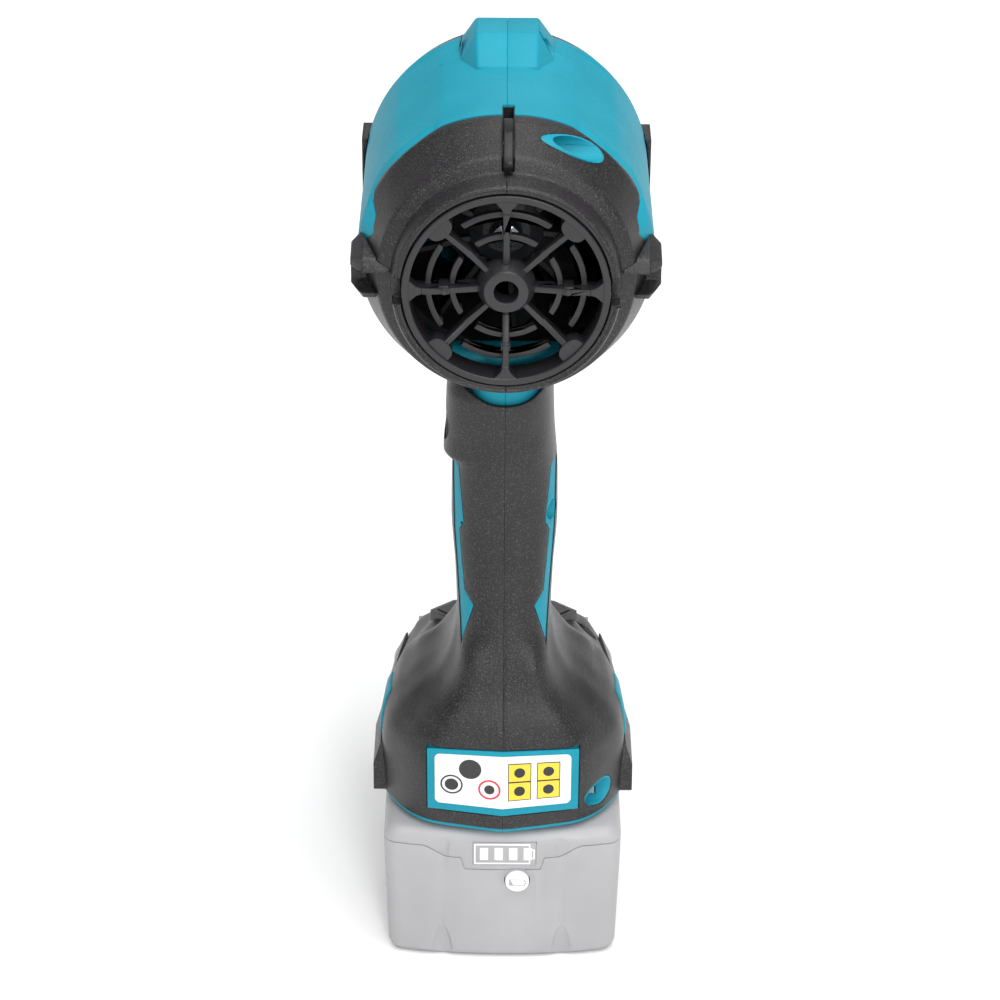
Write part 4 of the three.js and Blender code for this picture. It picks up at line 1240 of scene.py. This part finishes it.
def build_label():
    """A white film in its teal bed, with plain printed shapes and no lettering."""
    piece(label_flats(-0.05, 0.9, 0.1), "label_bed", "teal", width=0.3)
    piece(joined(half_film(-1), half_film(1)), "label_film", "film", replaces=["label_plate"], width=0)
    upper, lower, ringed = (-10.2, 72.6), (-16, 66.6), (-4.2, 65.7)
    discs = [
        printed(circle(*upper, 3.5)), printed_ring(*lower, 3.5, 3.0), printed(circle(*lower, 2.1)),
        printed(circle(*ringed, 1.6)),
    ]
    piece(joined(*discs), "label_discs", "ink", width=0)
    piece(printed_ring(*ringed, 3.5, 2.9), "label_ring", "red", width=0)
    width, tall, line = 7.2, 6.6, 0.25
    squares, frames, dots = [], [], []
    for x in (1.6, 10.6):
        for z in (61.9, 68.5):
            inner = rectangle(x, z, width, tall, line)
            squares.append(printed(inner))
            frames.append(cut(on_label(rectangle(x, z, width, tall), 0.2, 0.42), on_label(inner, 0, 1)))
            dots.append(on_label(circle(x + width / 2, z + tall / 2, 1.7, 32), 0.2, 0.46))
    piece(joined(*squares), "label_squares", "yellow", width=0)
    piece(joined(*frames, *dots), "label_signs", "ink", width=0)


# ---- the whole object ----
def flank_badge(side):
    """A teal strip let into the flank of the foot."""
    outline = fillet([(-24, 56), (-4, 56.5), (1, 66), (-5, 75), (-20, 78), (-27, 66)], 1.5)
    near, far = sorted((side * 30, side * 60))
    return common(cut(grip_body(-0.5), grip_body(0.6, 4)), plate_x(outline, near, far))


def build_head():
    for side, name in SIDES:
        piece(flank_badge(side), f"flank_badge_{name}", "teal", width=0.15)
    shells = (
        (housing, "shell", "housing", "teal", 0.15),
        (grip_skin, "overmould", "grip_skin", "rubber", 0.12),
        (rear_cowl, "cowl", "rear_cowl", "rubber", 0.2),
    )
    for build, name, node, look, width in shells:
        for half, (_, side) in zip(halves(build()), SIDES):
            piece(half, f"{name}_{side}", look, replaces=[f"{node}_{side}"], width=width)
    for side, name in SIDES:
        piece(side_pad(side), f"ear_{name}", "rubber", "tool", [f"side_pad_{name}"], 0.35, 3, 30)
    piece(inlet_grille(), "grille", "black", replaces=["inlet_grille"], width=0.18)
    piece(hanging_hook(), "hook_plate", "hook", "hook", ["hanging_hook"], 0.35, 3)
    # Painted shade: thin black sheets on the walls of the hook's slot.
    piece(slot_painted_shade(), "hook_slot_painted_shade", "black", width=0)
    piece(front_bumper(), "bumper", "rubber", replaces=["front_bumper"], width=0.12)
    piece(nose_cone(), "nose", "black", replaces=["nose_cone"], width=0)
    piece(nozzle(), "air_nozzle", "black", "nozzle", ["nozzle"], 0.12)


# The CAD nodes that stay as they are, by look.
KEPT = {
    "black": [
        "fan_duct", "motor_end_cap", "trigger", "switch_body", "lock_on_button", "control_panel",
        "mode_button", "terminal_block",
    ],
    "steel": [
        "impeller_nut", "rotor_shaft", "rotor_magnet", "bearing_rear", "bearing_front",
        "release_spring", *(name for name, _ in SCREWS),
    ],
    "mount_rubber": ["nozzle_seal", "motor_mount_rear", "motor_mount_front"],
    "fan": ["impeller", "switch_plunger"],
    "board": ["controller_board", "battery_board"],
    "brass": ["terminal_blade_left", "terminal_blade_right"],
    "winding": ["stator"],
    "lens": ["indicator_lens"],
    "cell": ["cell_pack"],
    "pale": ["release_button"],
}


def finish_kept_node(name, look):
    """The material and soft edges of one kept node; its mesh stays as it is."""
    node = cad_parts[name]
    if not node.material_slots:
        node.data.materials.append(MATERIALS[look])
    for slot in node.material_slots:
        slot.link = "OBJECT"
        slot.material = MATERIALS[look]
    soften(node, 0.0 if name == "release_spring" else 0.15)


def make_camera():
    """A long lens from behind and above, level but for a small roll."""
    target = Vector((-1.4, 0.0, 136.0))
    tilt, distance, roll = math.radians(29.5), 1000.0, math.radians(0.33)
    forward = Vector((0, math.cos(tilt), -math.sin(tilt)))
    data = bpy.data.cameras.new("camera")
    data.lens, data.sensor_width = 113.8, 36.0
    data.clip_start, data.clip_end = 0.05, 100
    camera = bpy.data.objects.new("camera", data)
    camera.location = (target - forward * distance) * MM
    look = forward.to_track_quat("-Z", "Y").to_matrix().to_4x4()
    spin = Matrix.Rotation(roll, 4, "Z")
    camera.rotation_mode = "QUATERNION"
    camera.rotation_quaternion = (look @ spin).to_quaternion()
    bpy.context.scene.collection.objects.link(camera)
    bpy.context.scene.camera = camera


def area_light(name, place, size, power):
    """A soft box at place, in metres, turned towards the middle of the tool."""
    data = bpy.data.lights.new(name, "AREA")
    data.shape = "RECTANGLE"
    data.size, data.size_y = size
    data.energy = power
    light = bpy.data.objects.new(name, data)
    light.location = place
    aim = Vector((0, 0, 0.15)) - Vector(place)
    light.rotation_mode = "QUATERNION"
    light.rotation_quaternion = aim.to_track_quat("-Z", "Y")
    bpy.context.scene.collection.objects.link(light)


def make_floor():
    """A wide disc of pale paper just under the battery."""
    outline = circle(0, 0, 30.0, 64)
    mesh = bpy.data.meshes.new("floor")
    mesh.from_pydata([(x, y, 0) for x, y in outline], [], [tuple(range(len(outline)))])
    floor = bpy.data.objects.new("floor", mesh)
    floor.location.z = CAD_BOX[0].z - 0.0005
    material, shader, _ = new_material("floor_paper")
    shader.inputs["Base Color"].default_value = (0.92, 0.92, 0.92, 1)
    shader.inputs["Roughness"].default_value = 0.9
    mesh.materials.append(material)
    bpy.context.scene.collection.objects.link(floor)


def make_studio():
    """A pale room with one broad light overhead and three soft boxes."""
    world = bpy.data.worlds.new("studio")
    world.use_nodes = True
    background = world.node_tree.nodes["Background"]
    background.inputs["Color"].default_value = (1, 1, 1, 1)
    background.inputs["Strength"].default_value = 0.19
    bpy.context.scene.world = world
    sun = bpy.data.lights.new("overhead", "SUN")
    sun.energy, sun.angle = 3.0, math.radians(75)
    overhead = bpy.data.objects.new("overhead", sun)
    overhead.rotation_mode = "QUATERNION"
    overhead.rotation_quaternion = Vector((-0.12, 0.3, -1)).to_track_quat("-Z", "Y")
    bpy.context.scene.collection.objects.link(overhead)
    area_light("box_above", (0.1, 0.0, 1.5), (0.8, 0.8), 5)
    area_light("box_front", (0.1, 1.5, 1.0), (0.9, 0.5), 2)
    area_light("box_behind", (0.3, -1.6, 0.9), (0.35, 0.2), 11)
    make_floor()
    bpy.context.scene.view_settings.view_transform = "Standard"


build_head()
build_label()
build_battery()
build_check_button()
for kept_look, kept_names in KEPT.items():
    for kept_name in kept_names:
        finish_kept_node(kept_name, kept_look)
make_studio()
make_camera()
